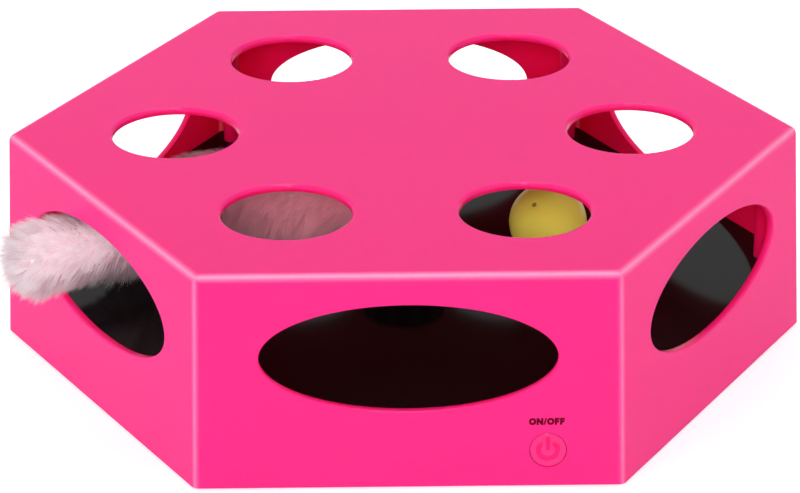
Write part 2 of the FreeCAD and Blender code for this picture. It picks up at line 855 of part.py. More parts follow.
def rotor_screw():
    """The screw that holds the hub down on the shaft."""
    body = screw(0, 0, -rotor_boss_top, small_screw_length, small_screw_radius, small_head_radius,
                 small_head_height)
    body.rotate(V(0, 0, 0), V(1, 0, 0), 180)
    return body


def tail_ferrule():
    """The sleeve crimped round the root of the worm's core."""
    return worm_bar(ferrule_radius, core_start, core_start + ferrule_length).cut(
        worm_bar(core_radius + fit_clear, core_start - cut_over, core_start + ferrule_length + cut_over))


def route_points():
    """The worm's line past its root."""
    return [V(x * rim_reach, y * rim_reach, deck_top + rise) for x, y, rise, share in worm_route]


def worm_line():
    """The points that the worm's core follows, from its root to its tip."""
    root = polar(core_start, worm_turn, worm_z)
    bend = polar(rotor_radius + 4.0, worm_turn, worm_z)
    return [root, bend] + route_points()


def smooth_path(points, share):
    """Straight runs joined by tangent arcs, each as large as its two runs allow."""
    edges = []
    last = points[0]
    for k in range(1, len(points) - 1):
        before = points[k - 1] - points[k]
        after = points[k + 1] - points[k]
        reach = share * min(before.Length, after.Length)
        before.normalize()
        after.normalize()
        inward = before + after
        inward.normalize()
        half = math.acos(max(-1.0, min(1.0, before.dot(after)))) / 2
        radius = reach * math.tan(half)
        start = points[k] + before * reach
        end = points[k] + after * reach
        middle = points[k] + inward * (radius / math.sin(half) - radius)
        edges.append(Part.LineSegment(last, start).toShape())
        edges.append(Part.Arc(start, middle, end).toShape())
        last = end
    edges.append(Part.LineSegment(last, points[-1]).toShape())
    return Part.Wire(edges)


def tube(points, radius, share=0.45):
    """A round bar swept along a smoothed path."""
    path = smooth_path(points, share)
    along = points[1] - points[0]
    profile = Part.Wire(Part.makeCircle(radius, points[0], along))
    return path.makePipeShell([profile], True, False)


def three_arc_circle(centre, along, radius):
    """A circle made of three arcs, square to a direction."""
    side = along.cross(UP)
    side.normalize()
    up = side.cross(along)
    up.normalize()
    places = [centre + side * (radius * math.cos(math.radians(60 * k)))
              + up * (radius * math.sin(math.radians(60 * k))) for k in range(6)]
    arcs = [Part.Arc(places[k], places[k + 1], places[(k + 2) % 6]).toShape() for k in (0, 2, 4)]
    return Part.Wire(arcs)


def worm_sections():
    """Centre, direction and radius of the worm's body from its root to its rounded tip."""
    axis = polar(1.0, worm_turn)
    places = [axis * (rotor_radius + worm_gap) + V(0, 0, worm_z)] + route_points()
    radii = [worm_root_radius] + [worm_radius * share for x, y, rise, share in worm_route]
    directions = [axis]
    for k in range(1, len(places) - 1):
        directions.append(places[k + 1] - places[k - 1])
    directions.append(places[-1] - places[-2])
    for direction in directions:
        direction.normalize()
    sections = list(zip(places, directions, radii))
    for turn in (30.0, 55.0, 75.0):
        step = radii[-1] * math.sin(math.radians(turn))
        narrow = radii[-1] * math.cos(math.radians(turn))
        sections.append((places[-1] + directions[-1] * step, directions[-1], narrow))
    return sections


def tail_core():
    """The flexible rod inside the worm."""
    return tube(worm_line(), core_radius)


def tail_plush():
    """The worm's stuffed, furry body with a bore for its core."""
    sections = worm_sections()
    body = Part.makeLoft([three_arc_circle(*section) for section in sections], True, False)
    return body.cut(tube(worm_line(), core_radius + core_clear))


def ball():
    """The loose ball on the floor."""
    return Part.makeSphere(ball_radius, V(ball_reach, 0, deck_top + ball_gap + ball_radius))


def motor_can():
    """The motor's flat-sided steel can, with the nose that centres it in the shelf."""
    low = motor_low + motor_cap_length
    body = raised(motor_outline(low), shelf_low)
    body = body.fuse(disc(motor_nose_radius, shelf_low, shelf_low + motor_nose_height, motor_x, motor_y))
    return body.cut(disc(motor_shaft_radius + pin_play, low, shelf_top, motor_x, motor_y)).removeSplitter()


def motor_outline(z):
    """The motor's outline: two flats joined by rounded sides."""
    return rectangle((motor_x - motor_width / 2, motor_x + motor_width / 2),
                     (motor_y - motor_depth / 2, motor_y + motor_depth / 2), motor_round, z)


def motor_end_cap():
    """The plastic cap on the motor's lower end, with the shaft's rear bearing."""
    body = raised(motor_outline(motor_low), motor_low + motor_cap_length)
    body = body.cut(disc(motor_shaft_radius + pin_play, motor_low + motor_rear_bearing,
                         motor_low + motor_cap_length, motor_x, motor_y))
    for side in (-1, 1):
        body = body.cut(terminal(side, fit_clear))
    return body


def terminal(side, grow=0.0):
    """One of the motor's solder tabs, which leaves the cap toward +X."""
    y = motor_y + side * motor_depth * terminal_share
    low = motor_low + terminal_rise
    edge = motor_x + motor_width / 2
    return block((edge - terminal_root - grow, edge + terminal_reach),
                 (y - terminal_width / 2 - grow, y + terminal_width / 2 + grow),
                 (low - grow, low + terminal_thick + grow))


def motor_terminals():
    """The motor's two solder tabs."""
    return Part.makeCompound([terminal(side) for side in (-1, 1)])


def motor_shaft():
    """The motor's shaft."""
    return disc(motor_shaft_radius, motor_low + motor_rear_bearing + motor_shaft_end,
                top_layer + tooth_width, motor_x, motor_y)


def motor_pinion():
    """The brass pinion on the motor's shaft."""
    body = gear_blank(motor_teeth, top_layer, top_layer + tooth_width, motor_x, motor_y, motor_phase, 4)
    bore = motor_shaft_radius + fit_clear
    return body.cut(disc(bore, top_layer, top_layer + tooth_width, motor_x, motor_y))


def board_screw_places():
    """Centres of the board's two screws."""
    return [(board_x + side * board_screw_spread / 2, board_front() + board_screw_back) for side in (-1, 1)]


def switch_face():
    """Where the switch's front face stands, on the Y axis."""
    return -front_at(button_z) + switch_inset


def board_front():
    """Where the board's front edge lies, on the Y axis."""
    return switch_face() - board_front_gap


def circuit_board():
    """The board behind the button, with its two screw holes."""
    board = raised(rectangle((board_x - board_width / 2, board_x + board_width / 2),
                             (board_front(), board_front() + board_depth), 1.0, board_low), board_top)
    for x, y in board_screw_places():
        board = board.cut(disc(small_screw_radius + screw_clear, board_low, board_top, x, y))
    return board


def board_screws():
    """Two screws that hold the board on its bosses."""
    screws = []
    for x, y in board_screw_places():
        body = screw(x, -y, -board_top, small_screw_length - 1.5, small_screw_radius, small_head_radius,
                     small_head_height)
        body.rotate(V(0, 0, 0), V(1, 0, 0), 180)
        screws.append(body)
    return Part.makeCompound(screws)


def push_switch():
    """The latching switch that lies on the board's edge, open at its front for the plunger."""
    half = switch_size / 2
    body = block((button_x - half, button_x + half), (switch_face(), switch_face() + switch_size),
                 (board_top, board_top + switch_size))
    body = body.makeFillet(edge_round, standing_edges(body))
    hollow = plunger_half + well_play
    well = (switch_face(), switch_face() + switch_depth)
    return body.cut(block((button_x - hollow, button_x + hollow), well,
                          (button_z - hollow, button_z + hollow)))


def plunger_front():
    """Where the switch's plunger ends toward the button, on the Y axis."""
    return switch_face() - plunger_reach


def switch_plunger():
    """The switch's square plunger."""
    return block((button_x - plunger_half, button_x + plunger_half),
                 (plunger_front(), switch_face() + switch_depth - button_travel - button_seat_gap),
                 (button_z - plunger_half, button_z + plunger_half))


def power_button():
    """The round cap in the front wall, which stands a little proud, with its flange and its stem."""
    face = -front_at(button_z + button_radius) - button_proud
    inner = -front_at(button_z + button_radius + button_flange) + wall + button_seat_gap
    bar = Part.makeCylinder(button_radius, inner - face, V(button_x, face, button_z), V(0, 1, 0))
    bar = bar.makeFillet(button_round, [e for e in bar.Edges if abs(e.BoundBox.YMax - face) < 0.01])
    flange = Part.makeCylinder(button_radius + button_flange, button_flange_thick,
                               V(button_x, inner, button_z), V(0, 1, 0))
    stem = Part.makeCylinder(button_stem_radius, plunger_front() + plunger_bite - inner,
                             V(button_x, inner, button_z), V(0, 1, 0))
    body = joined([bar, flange, stem])
    half = plunger_half + fit_clear
    return body.cut(block((button_x - half, button_x + half),
                          (plunger_front(), plunger_front() + plunger_bite),
                          (button_z - half, button_z + half)))


def control_chip():
    """The timer chip on the board."""
    x = board_x - chip_side
    y = board_front() + chip_back
    body = block((x - chip_size / 2, x + chip_size / 2), (y - chip_size * 0.4, y + chip_size * 0.4),
                 (board_top, board_top + chip_height))
    for side in (-1, 1):
        for k in range(leg_count):
            leg_x = x + leg_pitch * (k - (leg_count - 1) / 2)
            edge = y + side * chip_size * 0.4
            leg = block((leg_x - leg_width / 2, leg_x + leg_width / 2),
                        sorted((edge - side * 0.3, edge + side * leg_reach)),
                        (board_top, board_top + leg_width))
            body = body.fuse(leg)
    return body


def capacitor():
    """The round capacitor beside the switch."""
    high = board_top + capacitor_height
    body = disc(capacitor_radius, board_top, high, board_x - capacitor_side, board_front() + capacitor_back)
    return body.makeFillet(edge_round, level_edges(body, high))


def socket_places():
    """Centres of the two wire sockets along the board's rear edge: battery first, then motor."""
    y = board_front() + board_depth - socket_depth / 2 - 0.5
    return [(board_x + socket_spread / 2, y), (board_x - socket_spread / 2, y)]


def wire_sockets():
    """The sockets that the cells' and the motor's wires plug into."""
    sockets = []
    for x, y in socket_places():
        sockets.append(block((x - socket_width / 2, x + socket_width / 2),
                             (y - socket_depth / 2, y + socket_depth / 2),
                             (board_top, board_top + socket_height)))
    return Part.makeCompound(sockets)


def wire_level():
    """Height at which the wires leave their sockets."""
    return board_top + socket_height * 0.6


def motor_leads():
    """The two wires from the board to the motor's tabs."""
    x, y = socket_places()[1]
    start_y = y + socket_depth / 2
    z = wire_level()
    end_x = motor_x + motor_width / 2 + terminal_reach
    end_z = motor_low + terminal_rise + terminal_thick / 2
    wires = []
    for side in (-1, 1):
        tab_y = motor_y + side * motor_depth * terminal_share
        lane = x - side * wire_pitch / 2
        shift = side * wire_pitch / 2
        points = [V(lane, start_y, z),
                  V(lane, start_y + 2 * wire_room + shift, z),
                  V(lane + 2 * wire_room, start_y + 5 * wire_room + shift, (2 * z + end_z) / 3),
                  V(end_x + 1.6 * wire_room + shift, tab_y - 4 * wire_room, end_z + wire_radius),
                  V(end_x + 1.8 * wire_room + shift, tab_y - 1.6 * wire_room, end_z),
                  V(end_x + 1.4 * wire_room, tab_y, end_z),
                  V(end_x, tab_y, end_z)]
        wires.append(tube(points, wire_radius))
    return Part.makeCompound(wires)


def tab_end(side):
    """Where a battery wire meets its contact's tab, outside the bay."""
    row = bay_y - side * cell_pitch * (cell_count - 1) / 2
    return V(side * (bay_half_length + bay_wall + tab_reach), row, wire_level())


def battery_leads():
    """The two wires from the board to the cells' end contacts, one to each side of the bay."""
    x, y = socket_places()[0]
    start_y = y + socket_depth / 2
    z = wire_level()
    left = min(place[0] for place in ear_places()) - ear_radius
    right = max(place[0] for place in ear_places()) + ear_radius
    front = case_front()
    near = tab_end(1)
    far = tab_end(-1)
    short = [V(x + wire_pitch / 2, start_y, z),
             V(x + wire_pitch / 2, start_y + 2.5 * wire_room, z),
             V(right + wire_room, front - 4 * wire_room, z),
             V(right + 1.5 * wire_room, front + 4 * wire_room, z),
             V(near.x + 3 * wire_room, near.y - 5 * wire_room, z),
             V(near.x + 2.2 * wire_room, near.y - 1.5 * wire_room, z),
             V(near.x + 1.4 * wire_room, near.y, z),
             near]
    long = [V(x - wire_pitch / 2, start_y, z),
            V(x - wire_pitch / 2, start_y + 3 * wire_room, z),
            V(x - 3 * wire_room, front - 4 * wire_room, z),
            V(second_x, front - 2.2 * wire_room, z),
            V(left - wire_room, front, z),
            V(left - 3 * wire_room, front + 5 * wire_room, z),
            V(far.x - 1.8 * wire_room, far.y - 8 * wire_room, z),
            V(far.x - 2 * wire_room, far.y - 2 * wire_room, z),
            V(far.x - 1.4 * wire_room, far.y, z),
            far]
    return Part.makeCompound([tube(short, wire_radius), tube(long, wire_radius)])


def battery_cells():
    """Three cells side by side, the middle one turned round."""
    cells = []
    for k in range(cell_count):
        y = bay_y + cell_pitch * (k - (cell_count - 1) / 2)
        turn = 1 if k % 2 else -1
        start = V(-turn * (cell_body + cell_nub_height) / 2, y, cell_z)
        body = Part.makeCylinder(cell_radius, cell_body, start, V(turn, 0, 0))
        body = body.makeFillet(cell_round, [e for e in body.Edges if isinstance(e.Curve, Part.Circle)])
        end = start + V(turn * cell_body, 0, 0)
        nub = Part.makeCylinder(cell_nub_radius, cell_nub_height, end, V(turn, 0, 0))
        cells.append(body.fuse(nub))
    return Part.makeCompound(cells)


def contact_plate(end, low_y, high_y):
    """A contact strip against one end wall of the bay, with a bowed spring leaf for each cell."""
    wall_x = end * bay_half_length
    strip = block(sorted((wall_x, wall_x - end * contact_thick)), (low_y - 4.5, high_y + 4.5),
                  (cell_z - 4.5, cell_z + 4.5))
    parts = [strip]
    reach = bay_end_space - 0.1
    count = 1 if high_y - low_y < 1 else 2
    for k in range(count):
        y = low_y + (high_y - low_y) * k
        outer = [V(wall_x - end * 0.1, y - 3.5, cell_z - 2.0), V(wall_x - end * reach, y, cell_z - 2.0),
                 V(wall_x - end * 0.1, y + 3.5, cell_z - 2.0)]
        inner = [V(wall_x - end * 0.1, y + 2.8, cell_z - 2.0),
                 V(wall_x - end * (reach - contact_thick), y, cell_z - 2.0),
                 V(wall_x - end * 0.1, y - 2.8, cell_z - 2.0)]
        edges = [Part.Arc(*outer).toShape(), Part.LineSegment(outer[2], inner[0]).toShape(),
                 Part.Arc(*inner).toShape(), Part.LineSegment(inner[2], outer[0]).toShape()]
        parts.append(Part.Face(Part.Wire(edges)).extrude(V(0, 0, 4.0)))
    return joined(parts)


def contact_tab(side, grow=0.0):
    """The tab that an end contact pushes out through the bay's wall, for its wire."""
    end = tab_end(side)
    return block(sorted((side * (bay_half_length - contact_thick), end.x)),
                 (end.y - tab_width / 2 - grow, end.y + tab_width / 2 + grow),
                 (end.z - contact_thick / 2 - grow, end.z + contact_thick / 2 + grow))


def contact_plates():
    """Two single contacts with tabs, and two that join neighbouring cells."""
    rows = [bay_y + cell_pitch * (k - (cell_count - 1) / 2) for k in range(cell_count)]
    return Part.makeCompound([
        contact_plate(-1, rows[0], rows[1]),
        contact_plate(-1, rows[2], rows[2]).fuse(contact_tab(-1)),
        contact_plate(1, rows[0], rows[0]).fuse(contact_tab(1)),
        contact_plate(1, rows[1], rows[2]),
    ])


MAKERS = [
    outer_shell, deck_plate, bottom_cover, battery_door, rubber_feet, shell_screws,
    gearbox_tray, gearbox_lid, gearbox_screws, gear_pins, first_gear, second_gear, output_gear,
    output_shaft, shaft_bush, rotor_hub, rotor_cap, rotor_screw, tail_ferrule, tail_core,
    tail_plush, ball, motor_can, motor_end_cap, motor_terminals, motor_shaft, motor_pinion,
    circuit_board, board_screws, push_switch, switch_plunger, power_button, control_chip,
    capacitor, wire_sockets, motor_leads, battery_leads, battery_cells, contact_plates,
]

os.makedirs("parts", exist_ok=True)
for maker in MAKERS:
    solid = maker()
    solid.exportStep("parts/" + maker.__name__ + ".step")
    print(maker.__name__, len(solid.Solids), solid.isValid(), round(solid.Volume, 1))
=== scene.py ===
import logging
import math
from dataclasses import dataclass, field, replace
from enum import Enum
from typing import Any, Optional, Sequence

import bmesh
import bpy
import numpy as np
from mathutils import Matrix, Vector, kdtree, noise


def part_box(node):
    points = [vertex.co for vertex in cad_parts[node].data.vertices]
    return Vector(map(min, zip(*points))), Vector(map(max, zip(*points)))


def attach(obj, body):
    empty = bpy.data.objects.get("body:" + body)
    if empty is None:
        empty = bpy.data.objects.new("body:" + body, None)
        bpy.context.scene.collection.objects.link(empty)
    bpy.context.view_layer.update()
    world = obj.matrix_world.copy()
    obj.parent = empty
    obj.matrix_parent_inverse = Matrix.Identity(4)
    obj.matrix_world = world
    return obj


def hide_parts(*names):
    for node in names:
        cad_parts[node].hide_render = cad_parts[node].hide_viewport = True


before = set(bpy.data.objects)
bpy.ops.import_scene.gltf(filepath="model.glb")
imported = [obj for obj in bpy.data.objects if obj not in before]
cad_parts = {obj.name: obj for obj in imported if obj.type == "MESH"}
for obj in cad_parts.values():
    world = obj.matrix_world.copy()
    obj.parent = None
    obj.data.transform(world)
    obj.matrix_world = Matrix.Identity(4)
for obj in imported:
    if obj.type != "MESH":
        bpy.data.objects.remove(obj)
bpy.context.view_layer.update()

LOG = logging.getLogger("cat_toy")
MM = 0.001
SIN60 = math.sin(math.radians(60))
WALL_BEARINGS = (30, 90, 150)     # of the three pairs of walls, in degrees
SHARP_ANGLE = math.radians(35)    # between faces that don't shade as one

Socket = Any
Point = tuple[float, float, float]


class Body(Enum):
    """The CAD bodies that pieces ride on."""

    HOUSING = "housing"
    ROTOR = "rotor"
    BUTTON = "button"
    BALL = "loose_ball"


@dataclass(frozen=True)
class HoodForm:
    """The hexagonal hood's outline, in millimetres, which the pieces on it and in it share."""

    rim_z: float = 1.0
    roof_z: float = 77.9
    rim_reach: float = 143.7      # from the axis to a corner, at the rim
    draft: float = 3.3            # how much less a corner reaches at the roof
    wall: float = 2.5
    deck_top: float = 27.5
    side_z: float = 47.65
    side_half_width: float = 49.6
    side_half_height: float = 19.1

    def apothem(self, z: Any) -> Any:
        """Distance from the axis to the outside of a wall, at a height."""
        return (self.rim_reach - self.draft * (z - self.rim_z) / (self.roof_z - self.rim_z)) * SIN60

    def lean(self) -> float:
        """A wall's lean from upright, in radians."""
        return math.atan2(self.draft * SIN60, self.roof_z - self.rim_z)


FORM = HoodForm()


def linear(code: str) -> tuple[float, float, float, float]:
    """Turns an sRGB hex colour to linear light.

    Args:
        code: six hex digits.

    Returns:
        Red, green, blue and an alpha of 1.
    """
    parts = [int(code[k:k + 2], 16) / 255 for k in (0, 2, 4)]
    red, green, blue = (p / 12.92 if p <= 0.04045 else ((p + 0.055) / 1.055) ** 2.4 for p in parts)
    return red, green, blue, 1.0


def add_node(tree: bpy.types.NodeTree, kind: str, settings: Optional[dict] = None,
             links: Optional[dict] = None) -> bpy.types.Node:
    """Adds one shader node.

    Args:
        tree: the node tree that gets it.
        kind: the node's type.
        settings: values by socket name or number, or by the node's own property name.
        links: source sockets by the name or number of the input that they feed.

    Returns:
        The new node.
    """
    node = tree.nodes.new(kind)
    for name, value in (settings or {}).items():
        if isinstance(name, str) and hasattr(node, name):
            setattr(node, name, value)
        else:
            node.inputs[name].default_value = value
    for name, source in (links or {}).items():
        tree.links.new(source, node.inputs[name])
    return node


def new_material(name: str) -> tuple[bpy.types.Material, bpy.types.NodeTree]:
    """Makes an empty node material.

    Args:
        name: what the finish is called.

    Returns:
        The material and its node tree.
    """
    made = bpy.data.materials.new(name)
    made.use_nodes = True
    made.node_tree.nodes.clear()
    return made, made.node_tree


@dataclass(frozen=True)
class Finish:
    """A surface as it comes from its process, with a fine relief and a slight drift of colour."""

    name: str
    colour: str
    drift: str                    # the colour that it drifts toward in places
    roughness: float
    ior: float = 1.5
    metallic: float = 0.0
    specular: float = 0.5
    roughness_spread: float = 0.04
    grain_mm: float = 0.6         # width of the relief's grain
    relief_mm: float = 0.01       # height of the relief
    drift_mm: float = 60.0        # width of the patches of colour
    stretch: Point = (1.0, 1.0, 1.0)
    sockets: dict = field(default_factory=dict)

    def tint(self, tree: bpy.types.NodeTree, place: Socket, patch: Socket) -> Socket:
        """Mixes the surface's colours.

        Args:
            tree: the material's node tree.
            place: the position on the object, in metres; not used here.
            patch: the noise of the colour's drift.

        Returns:
            The socket of the colour.
        """
        return add_node(tree, "ShaderNodeMix", {"data_type": "RGBA", 6: linear(self.colour),
                                                7: linear(self.drift)}, {0: patch}).outputs[2]

    def material(self) -> bpy.types.Material:
        """Builds the finish once, and gives the same material afterwards.

        Returns:
            The Blender material.
        """
        known = bpy.data.materials.get(self.name)
        if known:
            return known
        made, tree = new_material(self.name)
        place = add_node(tree, "ShaderNodeTexCoord").outputs["Object"]
        along = add_node(tree, "ShaderNodeMapping", {"Scale": self.stretch}, {"Vector": place}).outputs[0]
        grain = add_node(tree, "ShaderNodeTexNoise", {"Scale": 1 / (self.grain_mm * MM), "Detail": 3.0},
                         {"Vector": along}).outputs[0]
        patch = add_node(tree, "ShaderNodeTexNoise", {"Scale": 1 / (self.drift_mm * MM), "Detail": 2.0},
                         {"Vector": along}).outputs[0]
        rough = add_node(tree, "ShaderNodeMapRange",
                         {"To Min": self.roughness - self.roughness_spread,
                          "To Max": self.roughness + self.roughness_spread}, {"Value": patch}).outputs[0]
        bump = add_node(tree, "ShaderNodeBump", {"Strength": 0.6, "Distance": self.relief_mm * MM},
                        {"Height": grain}).outputs[0]
        shader = add_node(tree, "ShaderNodeBsdfPrincipled",
                          {"IOR": self.ior, "Metallic": self.metallic,
                           "Specular IOR Level": self.specular, **self.sockets},
                          {"Base Color": self.tint(tree, place, patch), "Roughness": rough, "Normal": bump})
        add_node(tree, "ShaderNodeOutputMaterial", links={"Surface": shader.outputs[0]})
        return made


@dataclass(frozen=True)
class HoodFinish(Finish):
    """The hood's plastic, with a painted highlight along the roof's rim and upright corners, and painted red
    light on its inner faces.
    """

    # painted highlight: the pale line of reflected light on the rounded edges
    painted_highlight: str = "FFA6CA"
    inner: str = "FF1058"         # painted red light: light that has come through the wall has lost its blue
    reach_mm: float = 3.0         # how far the painted highlight fades over
    falloff: float = 2.6          # above 1 the painted highlight is palest in a narrow line
    rim_start_mm: float = 0.4     # the middle of the rim's rounding
    corner_start_mm: float = 1.1
    inner_from: float = 1 / 3     # the shares of the wall's thickness between which the colour turns
    inner_full: float = 0.8       # into the inner one

    def tint(self, tree: bpy.types.NodeTree, place: Socket, patch: Socket) -> Socket:
        """Adds the painted highlight on the edges and the painted red light on the inner faces to the
        surface's colours.

        Args:
            tree: the material's node tree.
            place: the position on the object, in metres.
            patch: the noise of the colour's drift.

        Returns:
            The socket of the colour.
        """
        plain = super().tint(tree, place, patch)
        reaches = []
        for bearing in WALL_BEARINGS:
            turn = math.radians(bearing)
            across = (math.cos(turn), math.sin(turn), 0)
            out = add_node(tree, "ShaderNodeVectorMath", {"operation": "DOT_PRODUCT", 1: across}, {0: place})
            reaches.append(add_node(tree, "ShaderNodeMath", {"operation": "ABSOLUTE"},
                                    {0: out.outputs["Value"]}).outputs[0])
        fold = {}
        for kind in ("MAXIMUM", "MINIMUM", "ADD"):
            pair = add_node(tree, "ShaderNodeMath", {"operation": kind}, {0: reaches[0], 1: reaches[1]})
            fold[kind] = add_node(tree, "ShaderNodeMath", {"operation": kind},
                                  {0: pair.outputs[0], 1: reaches[2]}).outputs[0]
        # How much nearer the nearest wall is than the next one: nothing at an upright corner
        twice = add_node(tree, "ShaderNodeMath", {"operation": "MULTIPLY_ADD", 1: 2.0,
                                                  2: self.corner_start_mm * MM}, {0: fold["MAXIMUM"]})
        rest = add_node(tree, "ShaderNodeMath", {"operation": "SUBTRACT"},
                        {0: twice.outputs[0], 1: fold["ADD"]})
        corner = add_node(tree, "ShaderNodeMath", {"operation": "ADD"},
                          {0: rest.outputs[0], 1: fold["MINIMUM"]}).outputs[0]
        height = add_node(tree, "ShaderNodeSeparateXYZ", {}, {0: place}).outputs["Z"]
        below = add_node(tree, "ShaderNodeMath", {"operation": "SUBTRACT", 0: FORM.roof_z * MM},
                         {1: height})
        inside = add_node(tree, "ShaderNodeMath",
                          {"operation": "SUBTRACT", 0: FORM.apothem(FORM.roof_z) * MM},
                          {1: fold["MAXIMUM"]})
        # The painted highlight runs where the roof meets a wall, and down each corner, where the rounded
        # edges would reflect the lamps
        edge = add_node(tree, "ShaderNodeMath", {"operation": "MINIMUM"},
                        {0: corner, 1: below.outputs[0]})
        near = add_node(tree, "ShaderNodeMath", {"operation": "MAXIMUM"},
                        {0: edge.outputs[0], 1: inside.outputs[0]}).outputs[0]
        start, end = self.rim_start_mm * MM, (self.rim_start_mm + self.reach_mm) * MM
        band = add_node(tree, "ShaderNodeMapRange",
                        {"From Min": start, "From Max": end, "To Min": 1.0, "To Max": 0.0},
                        {"Value": near}).outputs[0]
        highlight_mask = add_node(tree, "ShaderNodeMath", {"operation": "POWER", 1: self.falloff},
                        {0: band}).outputs[0]
        # The depth under the outer face, of the roof or of the leaning wall
        to_wall = add_node(tree, "ShaderNodeMath", {"operation": "MULTIPLY_ADD", 1: math.tan(FORM.lean())},
                           {0: below.outputs[0], 2: inside.outputs[0]})
        depth = add_node(tree, "ShaderNodeMath", {"operation": "MINIMUM"},
                         {0: to_wall.outputs[0], 1: below.outputs[0]}).outputs[0]
        thick = FORM.wall * MM
        within = add_node(tree, "ShaderNodeMapRange",
                          {"From Min": thick * self.inner_from, "From Max": thick * self.inner_full},
                          {"Value": depth})
        # Painted red light: the inner faces take the colour of light that has come through the wall
        both = add_node(tree, "ShaderNodeMix", {"data_type": "RGBA", 7: linear(self.inner)},
                        {0: within.outputs[0], 6: plain}).outputs[2]
        return add_node(tree, "ShaderNodeMix", {"data_type": "RGBA", 7: linear(self.painted_highlight)},
                        {0: highlight_mask, 6: both}).outputs[2]


# ABS from a polished mould: an even gloss over a colour that glows a little from inside, with the faint
# waves of the moulding, a painted highlight along the roof's rim and upright corners, and painted red light
# on the inner faces
HOOD_ABS = HoodFinish("gloss_moulded_abs_pink", "FF2C81", "FD297D", 0.17, 1.5, specular=0.05, grain_mm=9.0,
                      relief_mm=0.008, roughness_spread=0.015, drift_mm=90.0,
                      sockets={"Subsurface Weight": 0.6, "Subsurface Radius": (1.0, 0.02, 0.06),
                               "Subsurface Scale": 0.008})
# The button is polished more than the hood, so its small edges catch the light
BUTTON_ABS = replace(HOOD_ABS, name="polished_moulded_abs_pink", colour="FF237C", drift="FD2078",
                     specular=0.35)
# The same ABS from the part of the mould that was left dull, with no gloss; its deeper colour is painted
# shade in the button's sunk sign and round its sides
RECESS_ABS = Finish("dull_abs_pink_and_painted_shade", "FF1F72", "FD1C6E", 0.55, 1.5, specular=0.1, grain_mm=0.4,
                    relief_mm=0.02, drift_mm=8.0)
# High-gloss polystyrene: a near mirror that picks up whatever stands round it
DECK_STYRENE = Finish("high_gloss_polystyrene_black", "0D090A", "100B0C", 0.09, 1.56, specular=0.045,
                      grain_mm=14.0, relief_mm=0.008, roughness_spread=0.02, drift_mm=35.0)
HUB_STYRENE = Finish("gloss_polystyrene_black", "0C0B0C", "111011", 0.22, 1.56, specular=0.2,
                     grain_mm=5.0, relief_mm=0.008, drift_mm=18.0)
# Polypropylene from a spark-eroded mould: a fine even texture with a dull sheen
BASE_PP = Finish("textured_polypropylene_black", "161616", "1C1B1B", 0.5, 1.49, grain_mm=0.7,
                 relief_mm=0.05, drift_mm=40.0)
# Natural acetal: waxy off-white
GEAR_ACETAL = Finish("natural_acetal", "E8E6DE", "E2DFD3", 0.38, 1.48, grain_mm=1.2, relief_mm=0.01,
                     drift_mm=12.0)
# Zinc over pressed steel: a bluish grey with a soft shine
ZINC_SCREW = Finish("zinc_plated_steel", "A9ACB0", "9A9C98", 0.34, 1.5, 1.0, grain_mm=0.4, relief_mm=0.01,
                    drift_mm=3.0)
# Steel drawn through a die: bright, with fine lines along its length
DRAWN_STEEL = Finish("bright_drawn_steel", "BFC0C2", "B2B3B5", 0.28, 1.5, 1.0, grain_mm=0.5,
                     relief_mm=0.008, drift_mm=6.0, stretch=(1.0, 1.0, 0.1))
# Plated spring strip: warmer than steel, with the roll's lines across it
NICKEL_STRIP = Finish("nickel_plated_strip", "C8C3B6", "BAB4A5", 0.3, 1.5, 1.0, grain_mm=0.5,
                      relief_mm=0.008, drift_mm=5.0, stretch=(1.0, 0.1, 1.0))
# Brass off the lathe: yellow, with fine tool marks
TURNED_BRASS = Finish("machined_brass", "D2AB5E", "C39B4E", 0.3, 1.5, 1.0, grain_mm=0.3, relief_mm=0.008,
                      drift_mm=3.0)
# Nylon with oil in it: a dull amber
BUSH_NYLON = Finish("oil_filled_nylon", "C8B88E", "BDAB7E", 0.45, 1.53, grain_mm=0.8, relief_mm=0.01,
                    drift_mm=6.0)
# Soft aluminium, pressed round the worm's root: pale, and a little uneven
CRIMPED_ALUMINIUM = Finish("crimped_aluminium", "C9CACB", "BCBDBF", 0.36, 1.5, 1.0, grain_mm=0.5,
                           relief_mm=0.02, drift_mm=4.0)
# Plasticised PVC: off-white and faintly oily
CORE_ROD = Finish("flexible_pvc_rod", "E4DCD6", "DBD2CB", 0.42, 1.5, grain_mm=1.5, relief_mm=0.01,
                  drift_mm=10.0)
# Moulded rubber: nearly black, with no shine
FOOT_RUBBER = Finish("moulded_rubber_black", "1B1A1A", "232221", 0.8, 1.5, grain_mm=0.5, relief_mm=0.03,
                     drift_mm=6.0)
# Resin-bonded paper: tan, with the paper's streaks
BOARD_PHENOLIC = Finish("phenolic_paper_laminate", "A97B3B", "9B6E33", 0.5, 1.5, grain_mm=0.4,
                        relief_mm=0.01, drift_mm=3.0, stretch=(1.0, 0.15, 1.0))
# Shrunk PVC sleeve: tight and shiny dark blue
SLEEVE_PVC = Finish("shrink_sleeve_blue", "1B2747", "202D52", 0.35, 1.5, grain_mm=1.0, relief_mm=0.01,
                    drift_mm=4.0)
# Lacquer over foil: a dark grey with a metallic depth
CELL_JACKET = Finish("lacquered_cell_jacket", "3B4046", "30343A", 0.3, 1.5, 0.4, grain_mm=1.0,
                     relief_mm=0.006, drift_mm=9.0)
# Extruded soft PVC: smooth red with a soft shine
WIRE_RED = Finish("soft_pvc_wire_red", "B3201B", "A51A17", 0.4, 1.5, grain_mm=0.8, relief_mm=0.01,
                  drift_mm=5.0)
# Pad-printing ink, which the pink shows through a little at the strokes' edges
PRINT_INK = Finish("pad_print_ink_maroon", "640012", "58000F", 0.4, 1.5, specular=0.04, grain_mm=0.25,
                   relief_mm=0.008, drift_mm=1.5)
